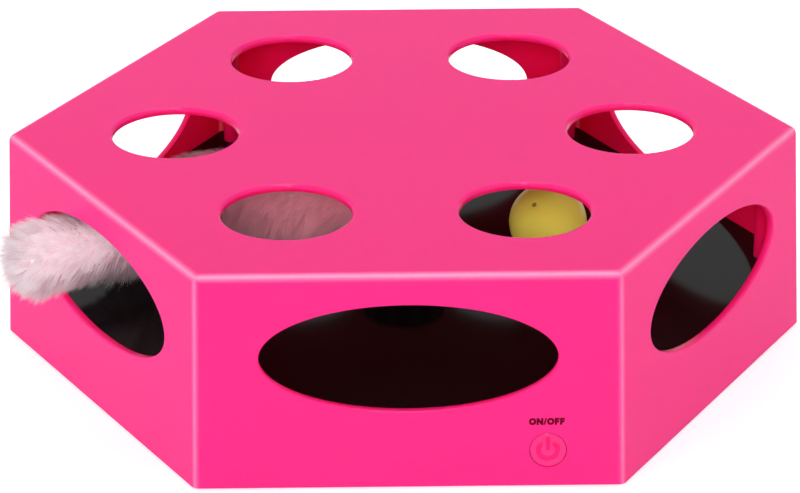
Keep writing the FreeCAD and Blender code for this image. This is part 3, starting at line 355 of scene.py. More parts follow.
# Blown polyethylene: waxy, with a broad highlight and a little light under its surface
BALL_PE = Finish("blown_polyethylene_yellow", "F8E962", "F0DF58", 0.35, 1.5, specular=0.2, grain_mm=6.0,
                 relief_mm=0.02, drift_mm=16.0,
                 sockets={"Subsurface Weight": 0.25, "Subsurface Radius": (0.6, 0.5, 0.1),
                          "Subsurface Scale": 0.002})
# The stub where the runner was broken off: duller and browner than the ball
GATE_PE = Finish("broken_polyethylene_gate", "A08A3C", "907A33", 0.6, 1.5, grain_mm=0.3, relief_mm=0.03,
                 drift_mm=0.8)


@dataclass(frozen=True)
class PileFinish:
    """Long modacrylic pile: soft off-white fibres, with painted shade that makes them darker and pinker
    toward their roots, and painted pink light from the hood near the hub.
    """

    name: str = "long_modacrylic_pile"
    # Painted shade: the fibres turn darker and pinker toward their roots, in place of the shadows that they
    # don't cast on each other
    root: str = "F0D4DD"
    tip: str = "FDF6F9"
    painted_hood_light: str = "FFC6D1"         # painted light: what the hood's own red light makes of white near the hub
    roughness: float = 0.7
    translucency: float = 0.5

    def material(self) -> bpy.types.Material:
        """Builds the material, whose colour follows each fibre's own length and tone, with painted shade
        toward the roots and painted hood light near the hub.

        Returns:
            The Blender material.
        """
        made, tree = new_material(self.name)
        along = add_node(tree, "ShaderNodeAttribute", {"attribute_name": "along"}).outputs["Fac"]
        tone = add_node(tree, "ShaderNodeAttribute", {"attribute_name": "tone"}).outputs["Fac"]
        hooded = add_node(tree, "ShaderNodeAttribute", {"attribute_name": "hooded"}).outputs["Fac"]
        # Painted shade toward the roots, and painted pink light from the hood where the fibres lie under it
        length = add_node(tree, "ShaderNodeMix", {"data_type": "RGBA", 6: linear(self.root),
                                                  7: linear(self.tip)}, {0: along}).outputs[2]
        both = add_node(tree, "ShaderNodeMix", {"data_type": "RGBA", "blend_type": "MULTIPLY",
                                                7: linear(self.painted_hood_light)}, {0: hooded, 6: length}).outputs[2]
        shade = add_node(tree, "ShaderNodeHueSaturation", {}, {"Value": tone, "Color": both}).outputs[0]
        shader = add_node(tree, "ShaderNodeBsdfPrincipled",
                          {"Roughness": self.roughness, "IOR": 1.5, "Specular IOR Level": 0.1,
                           "Sheen Weight": 0.3, "Sheen Roughness": 0.5}, {"Base Color": shade})
        through = add_node(tree, "ShaderNodeBsdfTranslucent", {}, {"Color": shade})
        surface = add_node(tree, "ShaderNodeMixShader", {0: self.translucency},
                           {1: shader.outputs[0], 2: through.outputs[0]})
        add_node(tree, "ShaderNodeOutputMaterial", links={"Surface": surface.outputs[0]})
        return made


PILE = PileFinish()
# The knitted backing that the pile grows from
BACKING_KNIT = Finish("knitted_pile_backing", "F7E4EA", "F2DAE2", 0.9, 1.5, grain_mm=0.8, relief_mm=0.3,
                      drift_mm=7.0)


def add_piece(name: str, mesh: bpy.types.Mesh, finish: Any, body: Body) -> bpy.types.Object:
    """Puts a finished mesh in the scene as a piece that rides on a body.

    Args:
        name: the piece's name.
        mesh: its mesh, in metres in the row frame.
        finish: what it is made of.
        body: the CAD body that carries it.

    Returns:
        The new object.
    """
    piece = bpy.data.objects.new(name, mesh)
    bpy.context.scene.collection.objects.link(piece)
    mesh.materials.append(finish.material())
    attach(piece, body.value)
    LOG.info("%s: %d points, rides on %s", name, len(mesh.vertices), body.value)
    return piece


def plate_mesh(name: str, outlines: Sequence[Sequence[tuple[float, float]]], half_thick: float,
               edge: float) -> bpy.types.Mesh:
    """Makes a thin plate from flat outlines, with holes where one outline lies in another.

    Args:
        name: the mesh's name.
        outlines: closed outlines, in millimetres.
        half_thick: half of the plate's thickness, in millimetres.
        edge: radius of its rounded edges, in millimetres.

    Returns:
        The mesh, in millimetres, with its thickness along Z.
    """
    curve = bpy.data.curves.new(name, "CURVE")
    curve.dimensions = "2D"
    curve.fill_mode = "BOTH"
    curve.extrude = half_thick
    curve.bevel_depth = edge
    curve.bevel_resolution = 3
    curve.offset = -edge
    for outline in outlines:
        spline = curve.splines.new("POLY")
        spline.points.add(len(outline) - 1)
        for point, (x, y) in zip(spline.points, outline):
            point.co = (x, y, 0, 1)
        spline.use_cyclic_u = True
    holder = bpy.data.objects.new(name, curve)
    mesh = bpy.data.meshes.new_from_object(holder)
    bpy.data.objects.remove(holder)
    mesh.name = name
    return mesh


def ellipse(x: float, y: float, half_width: float, half_height: float, steps: int = 40,
            power: float = 2.0) -> list[tuple[float, float]]:
    """Points round an oval.

    Args:
        x: its centre.
        y: its centre.
        half_width: half of its width.
        half_height: half of its height.
        steps: how many points.
        power: 2 for an ellipse, more for a squarer one.

    Returns:
        The points, in order.
    """
    points = []
    for k in range(steps):
        turn = 2 * math.pi * k / steps
        c, s = math.cos(turn), math.sin(turn)
        points.append((x + half_width * math.copysign(abs(c) ** (2 / power), c),
                       y + half_height * math.copysign(abs(s) ** (2 / power), s)))
    return points


def turned_mesh(name: str, profile: Sequence[tuple[float, float]], sides: int = 64) -> bpy.types.Mesh:
    """Turns a profile round the Z axis.

    Args:
        name: the mesh's name.
        profile: radius and height of each step, in millimetres, from one end on the axis to the other.
        sides: points round it.

    Returns:
        The closed mesh, in millimetres.
    """
    shell = bmesh.new()
    rings = []
    for radius, z in profile:
        if radius == 0:
            rings.append([shell.verts.new((0, 0, z))])
            continue
        turns = [2 * math.pi * k / sides for k in range(sides)]
        rings.append([shell.verts.new((radius * math.cos(t), radius * math.sin(t), z)) for t in turns])
    for low, high in zip(rings, rings[1:]):
        for k in range(sides):
            corners = [low[k % len(low)], low[(k + 1) % len(low)], high[(k + 1) % len(high)],
                       high[k % len(high)]]
            shell.faces.new(dict.fromkeys(corners))
    bmesh.ops.recalc_face_normals(shell, faces=shell.faces)
    mesh = bpy.data.meshes.new(name)
    shell.to_mesh(mesh)
    shell.free()
    return mesh


@dataclass
class SubAssembly:
    """CAD nodes that one worker would put together, each with the finish of the real part."""

    finishes: dict[str, Finish] = field(default_factory=dict)

    def dress(self) -> None:
        """Gives the sub-assembly's CAD nodes their finishes."""
        for name, finish in self.finishes.items():
            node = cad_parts[name]
            node.data.materials.clear()
            node.data.materials.append(finish.material())
            LOG.info("%s: %s", name, finish.name)

    def build(self) -> None:
        """Dresses the CAD nodes, and makes the pieces that Blender adds."""
        self.dress()


@dataclass
class Hood(SubAssembly):
    """The pink hood, with ON/OFF printed above the button."""

    finishes: dict[str, Finish] = field(default_factory=lambda: {"outer_shell": HOOD_ABS})
    print_x: float = 45.9         # the middle of the print
    print_z: float = 24.5
    print_raise: float = 0.025    # the ink's face above the wall
    print_half: float = 0.015     # half of the ink's thickness
    letter_height: float = 2.5
    stroke: float = 0.72
    slash_stroke: float = 0.52
    o_width: float = 2.4
    o_squareness: float = 2.2     # 2 is an ellipse
    n_width: float = 2.2
    n_slant: float = 1.9          # height of the N's slanting stroke, in strokes
    slash_width: float = 1.2
    f_width: float = 1.56
    f_arm: float = 0.9            # the F's middle arm, as a share of its top one
    gaps: tuple[float, ...] = (0.12, 0.08, 0.02, 0.16, 0.22)

    def glyph_o(self, x: float) -> list:
        """Draws the letter O.

        Args:
            x: its left edge.

        Returns:
            Its closed outlines.
        """
        half, tall = self.o_width / 2, self.letter_height / 2
        return [ellipse(x + half, 0, half - inset, tall - inset, power=self.o_squareness)
                for inset in (0, self.stroke)]

    def glyph_n(self, x: float) -> list:
        """Draws the letter N.

        Args:
            x: its left edge.

        Returns:
            Its closed outlines.
        """
        w, s, h = self.n_width, self.stroke, self.letter_height / 2
        low = h - self.n_slant * s
        return [[(x, -h), (x + s, -h), (x + s, low), (x + w - s, -h), (x + w, -h), (x + w, h),
                 (x + w - s, h), (x + w - s, -low), (x + s, h), (x, h)]]

    def glyph_slash(self, x: float) -> list:
        """Draws the slash.

        Args:
            x: its left edge.

        Returns:
            Its closed outlines.
        """
        w, s, h = self.slash_width, self.slash_stroke, self.letter_height / 2
        return [[(x, -h), (x + s, -h), (x + w, h), (x + w - s, h)]]

    def glyph_f(self, x: float) -> list:
        """Draws the letter F.

        Args:
            x: its left edge.

        Returns:
            Its closed outlines.
        """
        w, s, h = self.f_width, self.stroke, self.letter_height / 2
        arm = w * self.f_arm
        return [[(x, -h), (x + s, -h), (x + s, -s / 2), (x + arm, -s / 2), (x + arm, s / 2),
                 (x + s, s / 2), (x + s, h - s), (x + w, h - s), (x + w, h), (x, h)]]

    def lettering(self) -> bpy.types.Object:
        """Draws the letters and lays them on the drafted wall.

        Returns:
            The piece.
        """
        row = [(self.glyph_o, self.o_width), (self.glyph_n, self.n_width),
               (self.glyph_slash, self.slash_width), (self.glyph_o, self.o_width),
               (self.glyph_f, self.f_width), (self.glyph_f, self.f_width)]
        x = -(sum(width for _, width in row) + sum(self.gaps)) / 2
        outlines = []
        for (glyph, width), gap in zip(row, self.gaps + (0,)):
            outlines += glyph(x)
            x += width + gap
        mesh = plate_mesh("on_off_print", outlines, self.print_half, 0.0)
        face = -FORM.apothem(self.print_z) - self.print_raise + self.print_half
        mesh.transform(Matrix.Scale(MM, 4) @ Matrix.Translation((self.print_x, face, self.print_z))
                       @ Matrix.Rotation(math.pi / 2 - FORM.lean(), 4, "X"))
        return add_piece("on_off_print", mesh, PRINT_INK, Body.HOUSING)

    def build(self) -> None:
        """Dresses the hood and prints its letters."""
        self.dress()
        self.lettering()


@dataclass
class PowerButton(SubAssembly):
    """The round button, whose face has the switch sign sunk in it: an open ring, and a bar in its gap."""

    finishes: dict[str, Finish] = field(default_factory=lambda: {"switch_plunger": GEAR_ACETAL})
    centre_x: float = 46.4
    centre_z: float = 13.9
    radius: float = 6.15
    edge: float = 0.45            # rounding of the face's rim and of the sign's edges
    sign_depth: float = 0.6
    ring_outer: float = 3.85
    ring_inner: float = 2.5
    gap_angle: float = 48.0
    bar_width: float = 1.05
    bar_low: float = 0.1
    bar_high: float = 4.9
    arc_steps: int = 49           # points along the ring
    end_steps: int = 9            # points round each end of the ring and of the bar
    rim_steps: int = 96
    bite: float = 0.05            # how far the face's plate reaches into the body
    flange: float = 1.2
    flange_thick: float = 1.0
    seat_gap: float = 0.3
    stem_radius: float = 2.6
    socket_radius: float = 2.3    # of the hollow in the stem's end, which the switch goes into
    socket_depth: float = 3.0

    def ring_end(self, turn: float, way: int) -> list[tuple[float, float]]:
        """Rounds off one end of the ring.

        Args:
            turn: where round the ring the end is, in radians.
            way: 1 where the outline comes from the outer arc, -1 from the inner one.

        Returns:
            The points between the two arcs.
        """
        middle, half = (self.ring_outer + self.ring_inner) / 2, (self.ring_outer - self.ring_inner) / 2
        points = []
        for swing in np.linspace(0, math.pi, self.end_steps)[1:-1][::way]:
            out, ahead = middle + half * math.cos(swing), way * half * math.sin(swing)
            points.append((out * math.cos(turn) - ahead * math.sin(turn),
                           out * math.sin(turn) + ahead * math.cos(turn)))
        return points

    def ring_outline(self) -> list[tuple[float, float]]:
        """Draws the open ring, whose gap is at its top and whose ends are round.

        Returns:
            The closed outline.
        """
        first, last = math.radians(90 + self.gap_angle), math.radians(450 - self.gap_angle)
        turns = np.linspace(first, last, self.arc_steps)
        outer = [(self.ring_outer * math.cos(t), self.ring_outer * math.sin(t)) for t in turns]
        inner = [(self.ring_inner * math.cos(t), self.ring_inner * math.sin(t)) for t in turns[::-1]]
        return outer + self.ring_end(last, 1) + inner + self.ring_end(first, -1)

    def bar_outline(self) -> list[tuple[float, float]]:
        """Draws the bar, whose ends are round.

        Returns:
            The closed outline.
        """
        half = self.bar_width / 2
        points = []
        for start, middle in ((0, self.bar_high - half), (math.pi, self.bar_low + half)):
            points += [(half * math.cos(t), middle + half * math.sin(t))
                       for t in np.linspace(start, start + math.pi, self.end_steps)]
        return points

    def build(self) -> None:
        """Dresses the switch's plunger, and makes the button with its sign for the plain solid."""
        self.dress()
        face, back = (corner[1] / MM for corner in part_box("power_button"))
        wall_face = -FORM.apothem(self.centre_z + self.radius + self.flange) + FORM.wall
        inner = wall_face + self.seat_gap - face
        long = back - face
        wide, flange_end = self.radius + self.flange, inner + self.flange_thick
        body = turned_mesh("power_button_body", [
            (0, self.sign_depth), (self.radius, self.sign_depth), (self.radius, inner), (wide, inner),
            (wide, flange_end), (self.stem_radius, flange_end), (self.stem_radius, long),
            (self.socket_radius, long), (self.socket_radius, long - self.socket_depth),
            (0, long - self.socket_depth)])
        whole = ellipse(0, 0, self.radius, self.radius, steps=self.rim_steps)
        plate = plate_mesh("power_button_face", [whole, self.ring_outline(), self.bar_outline()],
                           self.sign_depth / 2 + self.bite - self.edge / 2, self.edge)
        plate.transform(Matrix.Translation((0, 0, self.sign_depth / 2 + self.bite + self.edge / 2)))
        seat = (Matrix.Scale(MM, 4) @ Matrix.Translation((self.centre_x, face, self.centre_z))
                @ Matrix.Rotation(math.pi / 2, 4, "X") @ Matrix.Scale(-1, 4, (0, 0, 1)))
        for mesh in (body, plate):
            mesh.transform(seat)
            mesh.flip_normals()
            mesh.set_sharp_from_angle(angle=SHARP_ANGLE)
        cap = add_piece("power_button_body", body, RECESS_ABS, Body.BUTTON)
        add_piece("power_button_face", plate, BUTTON_ABS, Body.BUTTON)
        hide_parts("power_button")


@dataclass
class LooseBall(SubAssembly):
    """The hollow ball that rolls round the track, with its moulding seam and the stub of its gate."""

    centre: Point = (52.0, 0.0, 41.7)
    radius: float = 14.0
    rows: int = 120
    sides: int = 120
    seam_height: float = 0.07
    seam_width: float = 0.35
    seam_lean: float = 62.0       # of the ball's own axis, which the seam goes round, in degrees
    seam_bearing: float = -70.0
    gate_bearing: float = -124.9
    gate_rise: float = 46.9
    gate_radius: float = 0.85
    gate_height: float = 0.12
    gate_root: float = 0.3        # how deep the stub reaches into the skin
    gate_sides: int = 24
    gate_dish: float = 0.25       # depth of the dish round the gate
    dish_share: float = 1.6       # the dish's radius in gate radii

    def gate_axis(self) -> Vector:
        """Works out where the gate stands.

        Returns:
            Its direction from the ball's middle.
        """
        bearing, rise = math.radians(self.gate_bearing), math.radians(self.gate_rise)
        flat = math.cos(rise)
        return Vector((flat * math.cos(bearing), flat * math.sin(bearing), math.sin(rise)))

    def shell(self) -> bpy.types.Mesh:
        """The ball's skin.

        Returns:
            The mesh, in millimetres round its own middle.
        """
        profile = []
        for k in range(self.rows + 1):
            turn = math.pi * k / self.rows
            away = (turn - math.pi / 2) * self.radius / self.seam_width
            reach = self.radius + self.seam_height * math.exp(-away ** 2)
            at_pole = k in (0, self.rows)
            profile.append((0 if at_pole else reach * math.sin(turn), reach * math.cos(turn)))
        mesh = turned_mesh("loose_ball_skin", profile, self.sides)
        mesh.transform(Matrix.Rotation(math.radians(self.seam_bearing), 4, "Z")
                       @ Matrix.Rotation(math.radians(self.seam_lean), 4, "Y"))
        gate = self.gate_axis()
        for vertex in mesh.vertices:
            away = gate.angle(vertex.co) * self.radius / (self.dish_share * self.gate_radius)
            vertex.co *= 1 - self.gate_dish / self.radius * math.exp(-away ** 4)
        mesh.shade_smooth()
        return mesh

    def build(self) -> None:
        """Makes the ball in place of its plain solid."""
        mesh = self.shell()
        foot = self.radius - self.gate_dish
        root, wide, tall = foot - self.gate_root, self.gate_radius, self.gate_height
        # The break is rough: its side stops half way up, and its middle dips
        stub = turned_mesh("ball_gate_stub", [
            (0, root), (wide, root), (wide, foot + tall * 0.5), (wide * 0.7, foot + tall),
            (0, foot + tall * 0.8)], self.gate_sides)
        stub.transform(self.gate_axis().to_track_quat("Z", "Y").to_matrix().to_4x4())
        for part in (mesh, stub):
            part.transform(Matrix.Scale(MM, 4) @ Matrix.Translation(self.centre))
        stub.set_sharp_from_angle(angle=SHARP_ANGLE)
        ball = add_piece("loose_ball_skin", mesh, BALL_PE, Body.BALL)
        add_piece("ball_gate_stub", stub, GATE_PE, Body.BALL)
        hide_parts("ball")


@dataclass
class Worm(SubAssembly):
    """The plush worm: a stuffed knitted tube that grows a dense long pile."""

    finishes: dict[str, Finish] = field(default_factory=lambda: {
        "tail_ferrule": CRIMPED_ALUMINIUM, "tail_core": CORE_ROD})
    root_reach: float = 16.4
    root_bearing: float = 145.0
    root_z: float = 42.4
    root_radius: float = 9.0
    full_radius: float = 15.0
    pile: float = 7.2             # the pile's depth where the worm is thickest
    least_pile: float = 0.5       # its share of that depth where the worm is thinnest
    bluntness: float = 2.5        # of the worm's end: 2 is a half ball
    grid: float = 0.5             # step along the centre line
    knot_steps: int = 40          # points on the line from one knot to the next
    exit_bearing: float = 210.0   # of the wall that the worm leaves through
    wall_room: float = 0.35       # between the pile and the hood
    trims: int = 8                # how often fibres that reach into the wall are cut
    trim: float = 0.8             # the share of its length that a cut leaves
    hood_start: float = 110.0     # how far from the axle the hood's hold on the fibres begins
    hood_full: float = 60.0       # and where it is full
    seed: int = 11
    fibre_count: int = 60000
    fibre_steps: int = 4
    fibre_width: float = 0.24
    width_spread: tuple[float, float] = (0.7, 1.2)
    taper: float = 0.7            # the share of the width that is gone at the tip
    taper_power: float = 1.5
    length_spread: tuple[float, float] = (0.95, 1.3)
    stray_from: float = 0.96      # fibres whose draw is above this one stand out
    stray_length: float = 1.2
    lean: float = 0.75            # toward the tip, as a share of the fibre's rise
    inner_lift: float = 0.6       # the share of the lean that is gone near the hub
    droop: float = 0.35           # how much of the lean comes back as a bend
    sag: float = 0.08
    inner_sag: float = 0.6        # of the fibres near the hub
    wave_scale: float = 0.16      # waves of the pile for each millimetre
    wave_share: float = 0.4
    curl_scale: float = 0.6
    curl_share: float = 0.3
    curl_shift: Point = (7, 3, 5)
    scatter: float = 0.13
    tuft_size: int = 24           # fibres that draw together
    tuft_pull: float = 0.45
    twist: float = 0.3            # how far fibres turn about their own length
    tone_spread: tuple[float, float] = (0.95, 1.03)
    curl_shade: float = 0.16      # how much curls differ in brightness
    # x and y as shares of the rim's reach, rise above the floor plate, share of the full radius
    route: tuple[tuple[float, ...], ...] = (
        (-0.181, 0.118, 15.8, 1.05), (-0.299, 0.145, 16.4, 1.16), (-0.418, 0.177, 17.6, 1.16),
        (-0.508, 0.156, 18.1, 1.16), (-0.576, 0.075, 17.8, 1.07), (-0.631, -0.024, 17.8, 1.02),
        (-0.686, -0.115, 18.3, 1.0), (-0.746, -0.184, 19.7, 0.98), (-0.811, -0.237, 20.8, 1.0),
        (-0.869, -0.275, 21.0, 1.06))
    line: np.ndarray = field(init=False)      # points along the centre line
    along: np.ndarray = field(init=False)     # its direction
    side: np.ndarray = field(init=False)
    up: np.ndarray = field(init=False)
    depth: np.ndarray = field(init=False)     # of the pile
    tube: np.ndarray = field(init=False)      # radius of the backing
    cap: np.ndarray = field(init=False)       # 0 on the tube, up to 1 over its round end

    def __post_init__(self) -> None:
        """Works out the tube from the route."""
        knots, radii = self.knots()
        points, sizes = self.spline(knots, radii)
        run = np.concatenate([[0], np.cumsum(np.linalg.norm(np.diff(points, axis=0), axis=1))])
        even = np.append(np.arange(0, run[-1] - self.pile, self.grid), run[-1] - self.pile)
        self.line = np.stack([np.interp(even, run, points[:, i]) for i in range(3)], axis=1)
        outer = np.interp(even, run, sizes)
        self.along = np.gradient(self.line, even, axis=0)
        self.along /= np.linalg.norm(self.along, axis=1)[:, None]
        self.side = np.cross(self.along, (0, 0, 1.0))
        self.side /= np.linalg.norm(self.side, axis=1)[:, None]
        self.up = np.cross(self.side, self.along)
        self.depth = self.pile * np.clip(outer / self.full_radius, self.least_pile, 1.0)
        full = outer - self.depth
        self.cap = np.clip(1 - (even[-1] - even) / full[-1], 0, 1)
        self.tube = full * (1 - self.cap ** self.bluntness) ** (1 / self.bluntness)

    def knots(self) -> tuple[np.ndarray, np.ndarray]:
        """Lays out the route in millimetres.

        Returns:
            Its points from the worm's root to its tip, and the worm's radius at each.
        """
        turn = math.radians(self.root_bearing)
        points = [(self.root_reach * math.cos(turn), self.root_reach * math.sin(turn), self.root_z)]
        for x, y, rise, _ in self.route:
            points.append((x * FORM.rim_reach, y * FORM.rim_reach, FORM.deck_top + rise))
        radii = [self.root_radius] + [share * self.full_radius for *_, share in self.route]
        points = np.array(points)
        last = points[-1] - points[-2]
        tip = points[-1] + last / np.linalg.norm(last) * radii[-1]
        return np.vstack([points, tip]), np.array(radii + radii[-1:])

    def spline(self, knots: np.ndarray, radii: np.ndarray) -> tuple[np.ndarray, np.ndarray]:
        """Runs a smooth line through the knots.

        Args:
            knots: the points.
            radii: the radius at each.

        Returns:
            Close points along the line, and the radius at each.
        """
        round_ends = np.vstack([2 * knots[0] - knots[1], knots, 2 * knots[-1] - knots[-2]])
        t = np.linspace(0, 1, self.knot_steps, endpoint=False)[:, None]
        points, sizes = [], []
        for k in range(len(knots) - 1):
            a, b, c, d = round_ends[k:k + 4]
            points.append(0.5 * (2 * b + (c - a) * t + (2 * a - 5 * b + 4 * c - d) * t ** 2
                                 + (3 * b - a - 3 * c + d) * t ** 3))
            sizes.append(radii[k] + (radii[k + 1] - radii[k]) * (3 * t ** 2 - 2 * t ** 3)[:, 0])
        return np.vstack(points + [knots[-1:]]), np.concatenate(sizes + [radii[-1:]])

    def backing(self, sides: int = 36) -> bpy.types.Mesh:
        """The stuffed tube, closed at both ends.

        Args:
            sides: points round it.

        Returns:
            The mesh, in metres.
        """
        turns = 2 * math.pi * np.arange(sides) / sides
        spread = (np.cos(turns)[None, :, None] * self.side[:-1, None]
                  + np.sin(turns)[None, :, None] * self.up[:-1, None])
        rings = self.line[:-1, None] + spread * self.tube[:-1, None, None]
        count = len(rings)
        points = np.vstack([rings.reshape(-1, 3), self.line[:1], self.line[-1:]])
        faces = [(r * sides + k, r * sides + (k + 1) % sides, (r + 1) * sides + (k + 1) % sides,
                  (r + 1) * sides + k) for r in range(count - 1) for k in range(sides)]
        root, tip, top = count * sides, count * sides + 1, (count - 1) * sides
        faces += [(root, (k + 1) % sides, k) for k in range(sides)]
        faces += [(tip, top + k, top + (k + 1) % sides) for k in range(sides)]
        mesh = bpy.data.meshes.new("worm_backing")
        mesh.from_pydata((points * MM).tolist(), [], faces)
        mesh.shade_smooth()
        return mesh

    def roots(self, dice: np.random.Generator) -> dict[str, np.ndarray]:
        """Scatters fibre roots evenly over the backing.

        Args:
            dice: the seeded generator.

        Returns:
            For each fibre its root, the outward and lengthwise directions there, the pile's depth,
            and how far round the tube's end it stands.
        """
        middle = (self.tube[1:] + self.tube[:-1]) / 2
        area = np.cumsum(middle * np.hypot(self.grid, np.diff(self.tube)))
        place = np.interp(dice.random(self.fibre_count) * area[-1], np.append(0, area),
                          np.arange(len(self.line)))
        low = np.clip(place.astype(int), 0, len(self.line) - 2)
        part = (place - low)[:, None]
        turn = dice.random(self.fibre_count) * 2 * math.pi
        at = {name: values[low] * (1 - part) + values[low + 1] * part for name, values in
              (("line", self.line), ("along", self.along), ("side", self.side), ("up", self.up),
               ("tube", self.tube[:, None]), ("depth", self.depth[:, None]), ("cap", self.cap[:, None]))}
        radial = np.cos(turn)[:, None] * at["side"] + np.sin(turn)[:, None] * at["up"]
        outward = radial * np.sqrt(1 - at["cap"] ** 2) + at["along"] * at["cap"]
        return {"root": at["line"] + radial * at["tube"], "outward": outward, "along": at["along"],
                "depth": at["depth"][:, 0], "cap": at["cap"]}

    def in_hood(self, points: np.ndarray) -> np.ndarray:
        """Finds the points that lie in the wall that the worm leaves through, or right beside it.

        Args:
            points: where to look, in millimetres.

        Returns:
            True for each point in the wall, False for the ones in its opening or away from it.
        """
        bearing = math.radians(self.exit_bearing)
        out = points[:, 0] * math.cos(bearing) + points[:, 1] * math.sin(bearing)
        across = -points[:, 0] * math.sin(bearing) + points[:, 1] * math.cos(bearing)
        outside = FORM.apothem(points[:, 2])
        slab = (out > outside - FORM.wall - self.wall_room) & (out < outside + self.wall_room)
        wide = across / (FORM.side_half_width - self.wall_room)
        tall = (points[:, 2] - FORM.side_z) / (FORM.side_half_height - self.wall_room)
        return slab & (wide ** 2 + tall ** 2 > 1)

    def hooded(self, points: np.ndarray) -> np.ndarray:
        """How deep under the hood each point is, from 0 by the opening to 1 near the hub."""
        away = np.hypot(points[:, 0], points[:, 1])
        return np.clip((self.hood_start - away) / (self.hood_start - self.hood_full), 0, 1)

    def tuft_leaders(self, roots: np.ndarray) -> np.ndarray:
        """Gathers the fibres in tufts.

        Args:
            roots: where the fibres stand.

        Returns:
            For each fibre, the number of the nearby one that its tuft draws toward.
        """
        count = len(roots) // self.tuft_size
        tree = kdtree.KDTree(count)
        for k in range(count):
            tree.insert(roots[k], k)
        tree.balance()
        return np.array([tree.find(point)[1] for point in roots])

    def paths(self, dice: np.random.Generator, at: dict[str, np.ndarray]) -> np.ndarray:
        """Where each fibre runs: it leans toward the tip, sags, and gathers in a tuft.

        Args:
            dice: the seeded generator.
            at: what roots() gives.

        Returns:
            The points of every fibre.
        """
        count = self.fibre_count
        shift = Vector(self.curl_shift)
        waves = np.array([noise.noise_vector(Vector(p) * self.wave_scale) for p in at["root"]])
        curls = np.array([noise.noise_vector(Vector(p) * self.curl_scale + shift) for p in at["root"]])
        at["shade"] = curls[:, 2] * self.curl_shade
        hooded = self.hooded(at["root"])[:, None]
        lean = at["along"] * self.lean * (1 - at["cap"]) * (1 - self.inner_lift * hooded)
        heading = (at["outward"] + lean + waves * self.wave_share + curls * self.curl_share
                   + dice.normal(0, self.scatter, (count, 3)))
        heading /= np.linalg.norm(heading, axis=1)[:, None]
        down = np.array((0, 0, 1.0)) * (self.sag + (self.inner_sag - self.sag) * hooded)
        bend = lean * self.droop - down
        length = at["depth"] * dice.uniform(*self.length_spread, count)
        length *= np.where(dice.random(count) > self.stray_from, self.stray_length, 1)
        leader = self.tuft_leaders(at["root"])
        share = np.linspace(0, 1, self.fibre_steps)[None, :, None]
        for _ in range(self.trims):
            reach = length[:, None, None]
            path = at["root"][:, None] + reach * (heading[:, None] * share + bend[:, None] * share ** 2)
            path += (path[leader, -1:] - path[:, -1:]) * self.tuft_pull * share ** 2
            hit = np.any([self.in_hood(path[:, j]) for j in range(self.fibre_steps)], axis=0)
            length[hit] *= self.trim
        path[..., 2] = np.maximum(path[..., 2], FORM.deck_top + self.wall_room)
        return path

    def fibres(self) -> bpy.types.Mesh:
        """The pile: thousands of tapered flat fibres, whose faces look outward.

        Returns:
            The mesh, in metres.
        """
        dice = np.random.default_rng(self.seed)
        noise.seed_set(self.seed)
        at = self.roots(dice)
        path = self.paths(dice, at)
        count, steps = self.fibre_count, self.fibre_steps
        across = np.cross(np.gradient(path, axis=1), at["outward"][:, None])
        size = np.linalg.norm(across, axis=2, keepdims=True)
        across += dice.normal(0, self.twist, (count, 1, 3)) * size
        across /= np.linalg.norm(across, axis=2, keepdims=True)
        taper = 1 - self.taper * np.linspace(0, 1, steps)[:-1] ** self.taper_power
        width = self.fibre_width * dice.uniform(*self.width_spread, (count, 1, 1)) * taper[None, :, None]
        edges = [path[:, :-1] + across[:, :-1] * width * half for half in (-0.5, 0.5)]
        points = np.concatenate([np.stack(edges, axis=2).reshape(count, -1, 3), path[:, -1:]], axis=1)
        per = points.shape[1]
        corners = [n for j in range(steps - 2) for n in (2 * j, 2 * j + 1, 2 * j + 3, 2 * j + 2)]
        corners += [per - 3, per - 2, per - 1]
        loops = (np.array(corners)[None] + np.arange(count)[:, None] * per).ravel()
        sizes = np.tile([4] * (steps - 2) + [3], count)
        mesh = bpy.data.meshes.new("worm_pile")
        mesh.vertices.add(count * per)
        mesh.vertices.foreach_set("co", (points * MM).ravel())
        mesh.loops.add(len(loops))
        mesh.loops.foreach_set("vertex_index", loops)
        mesh.polygons.add(len(sizes))
        mesh.polygons.foreach_set("loop_start", np.append(0, np.cumsum(sizes)[:-1]))
        mesh.update(calc_edges=True)
        mesh.shade_smooth()
        share = np.append(np.repeat(np.linspace(0, 1, steps)[:-1], 2), 1.0)
        tone = np.repeat(dice.uniform(*self.tone_spread, count) + at["shade"], per)
        hooded = np.repeat(self.hooded(at["root"]), per)
        # along and hooded carry the painted shade toward the roots and the painted hood light into the
        # pile's material
        for name, values in (("along", np.tile(share, count)), ("tone", tone), ("hooded", hooded)):
            layer = mesh.attributes.new(name, "FLOAT", "POINT")
            layer.data.foreach_set("value", values.astype(np.float32))
        # Fibres shade much like the round worm that they stand on, and a little by their own run
        soft = at["outward"] * 0.8 + (path[:, -1] - path[:, 0]) / at["depth"][:, None] * 0.3
        soft /= np.linalg.norm(soft, axis=1)[:, None]
        mesh.normals_split_custom_set_from_vertices(np.repeat(soft, per, axis=0).tolist())
        return mesh

    def build(self) -> None:
        """Dresses the worm's core, and makes the worm in place of its plain solid."""
        self.dress()
        tube = add_piece("worm_backing", self.backing(), BACKING_KNIT, Body.ROTOR)
        pile = add_piece("worm_pile", self.fibres(), PILE, Body.ROTOR)
        # Single fibres let most light through, so the worm's shadow is that of its backing
        pile.visible_shadow = False
        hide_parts("tail_plush")


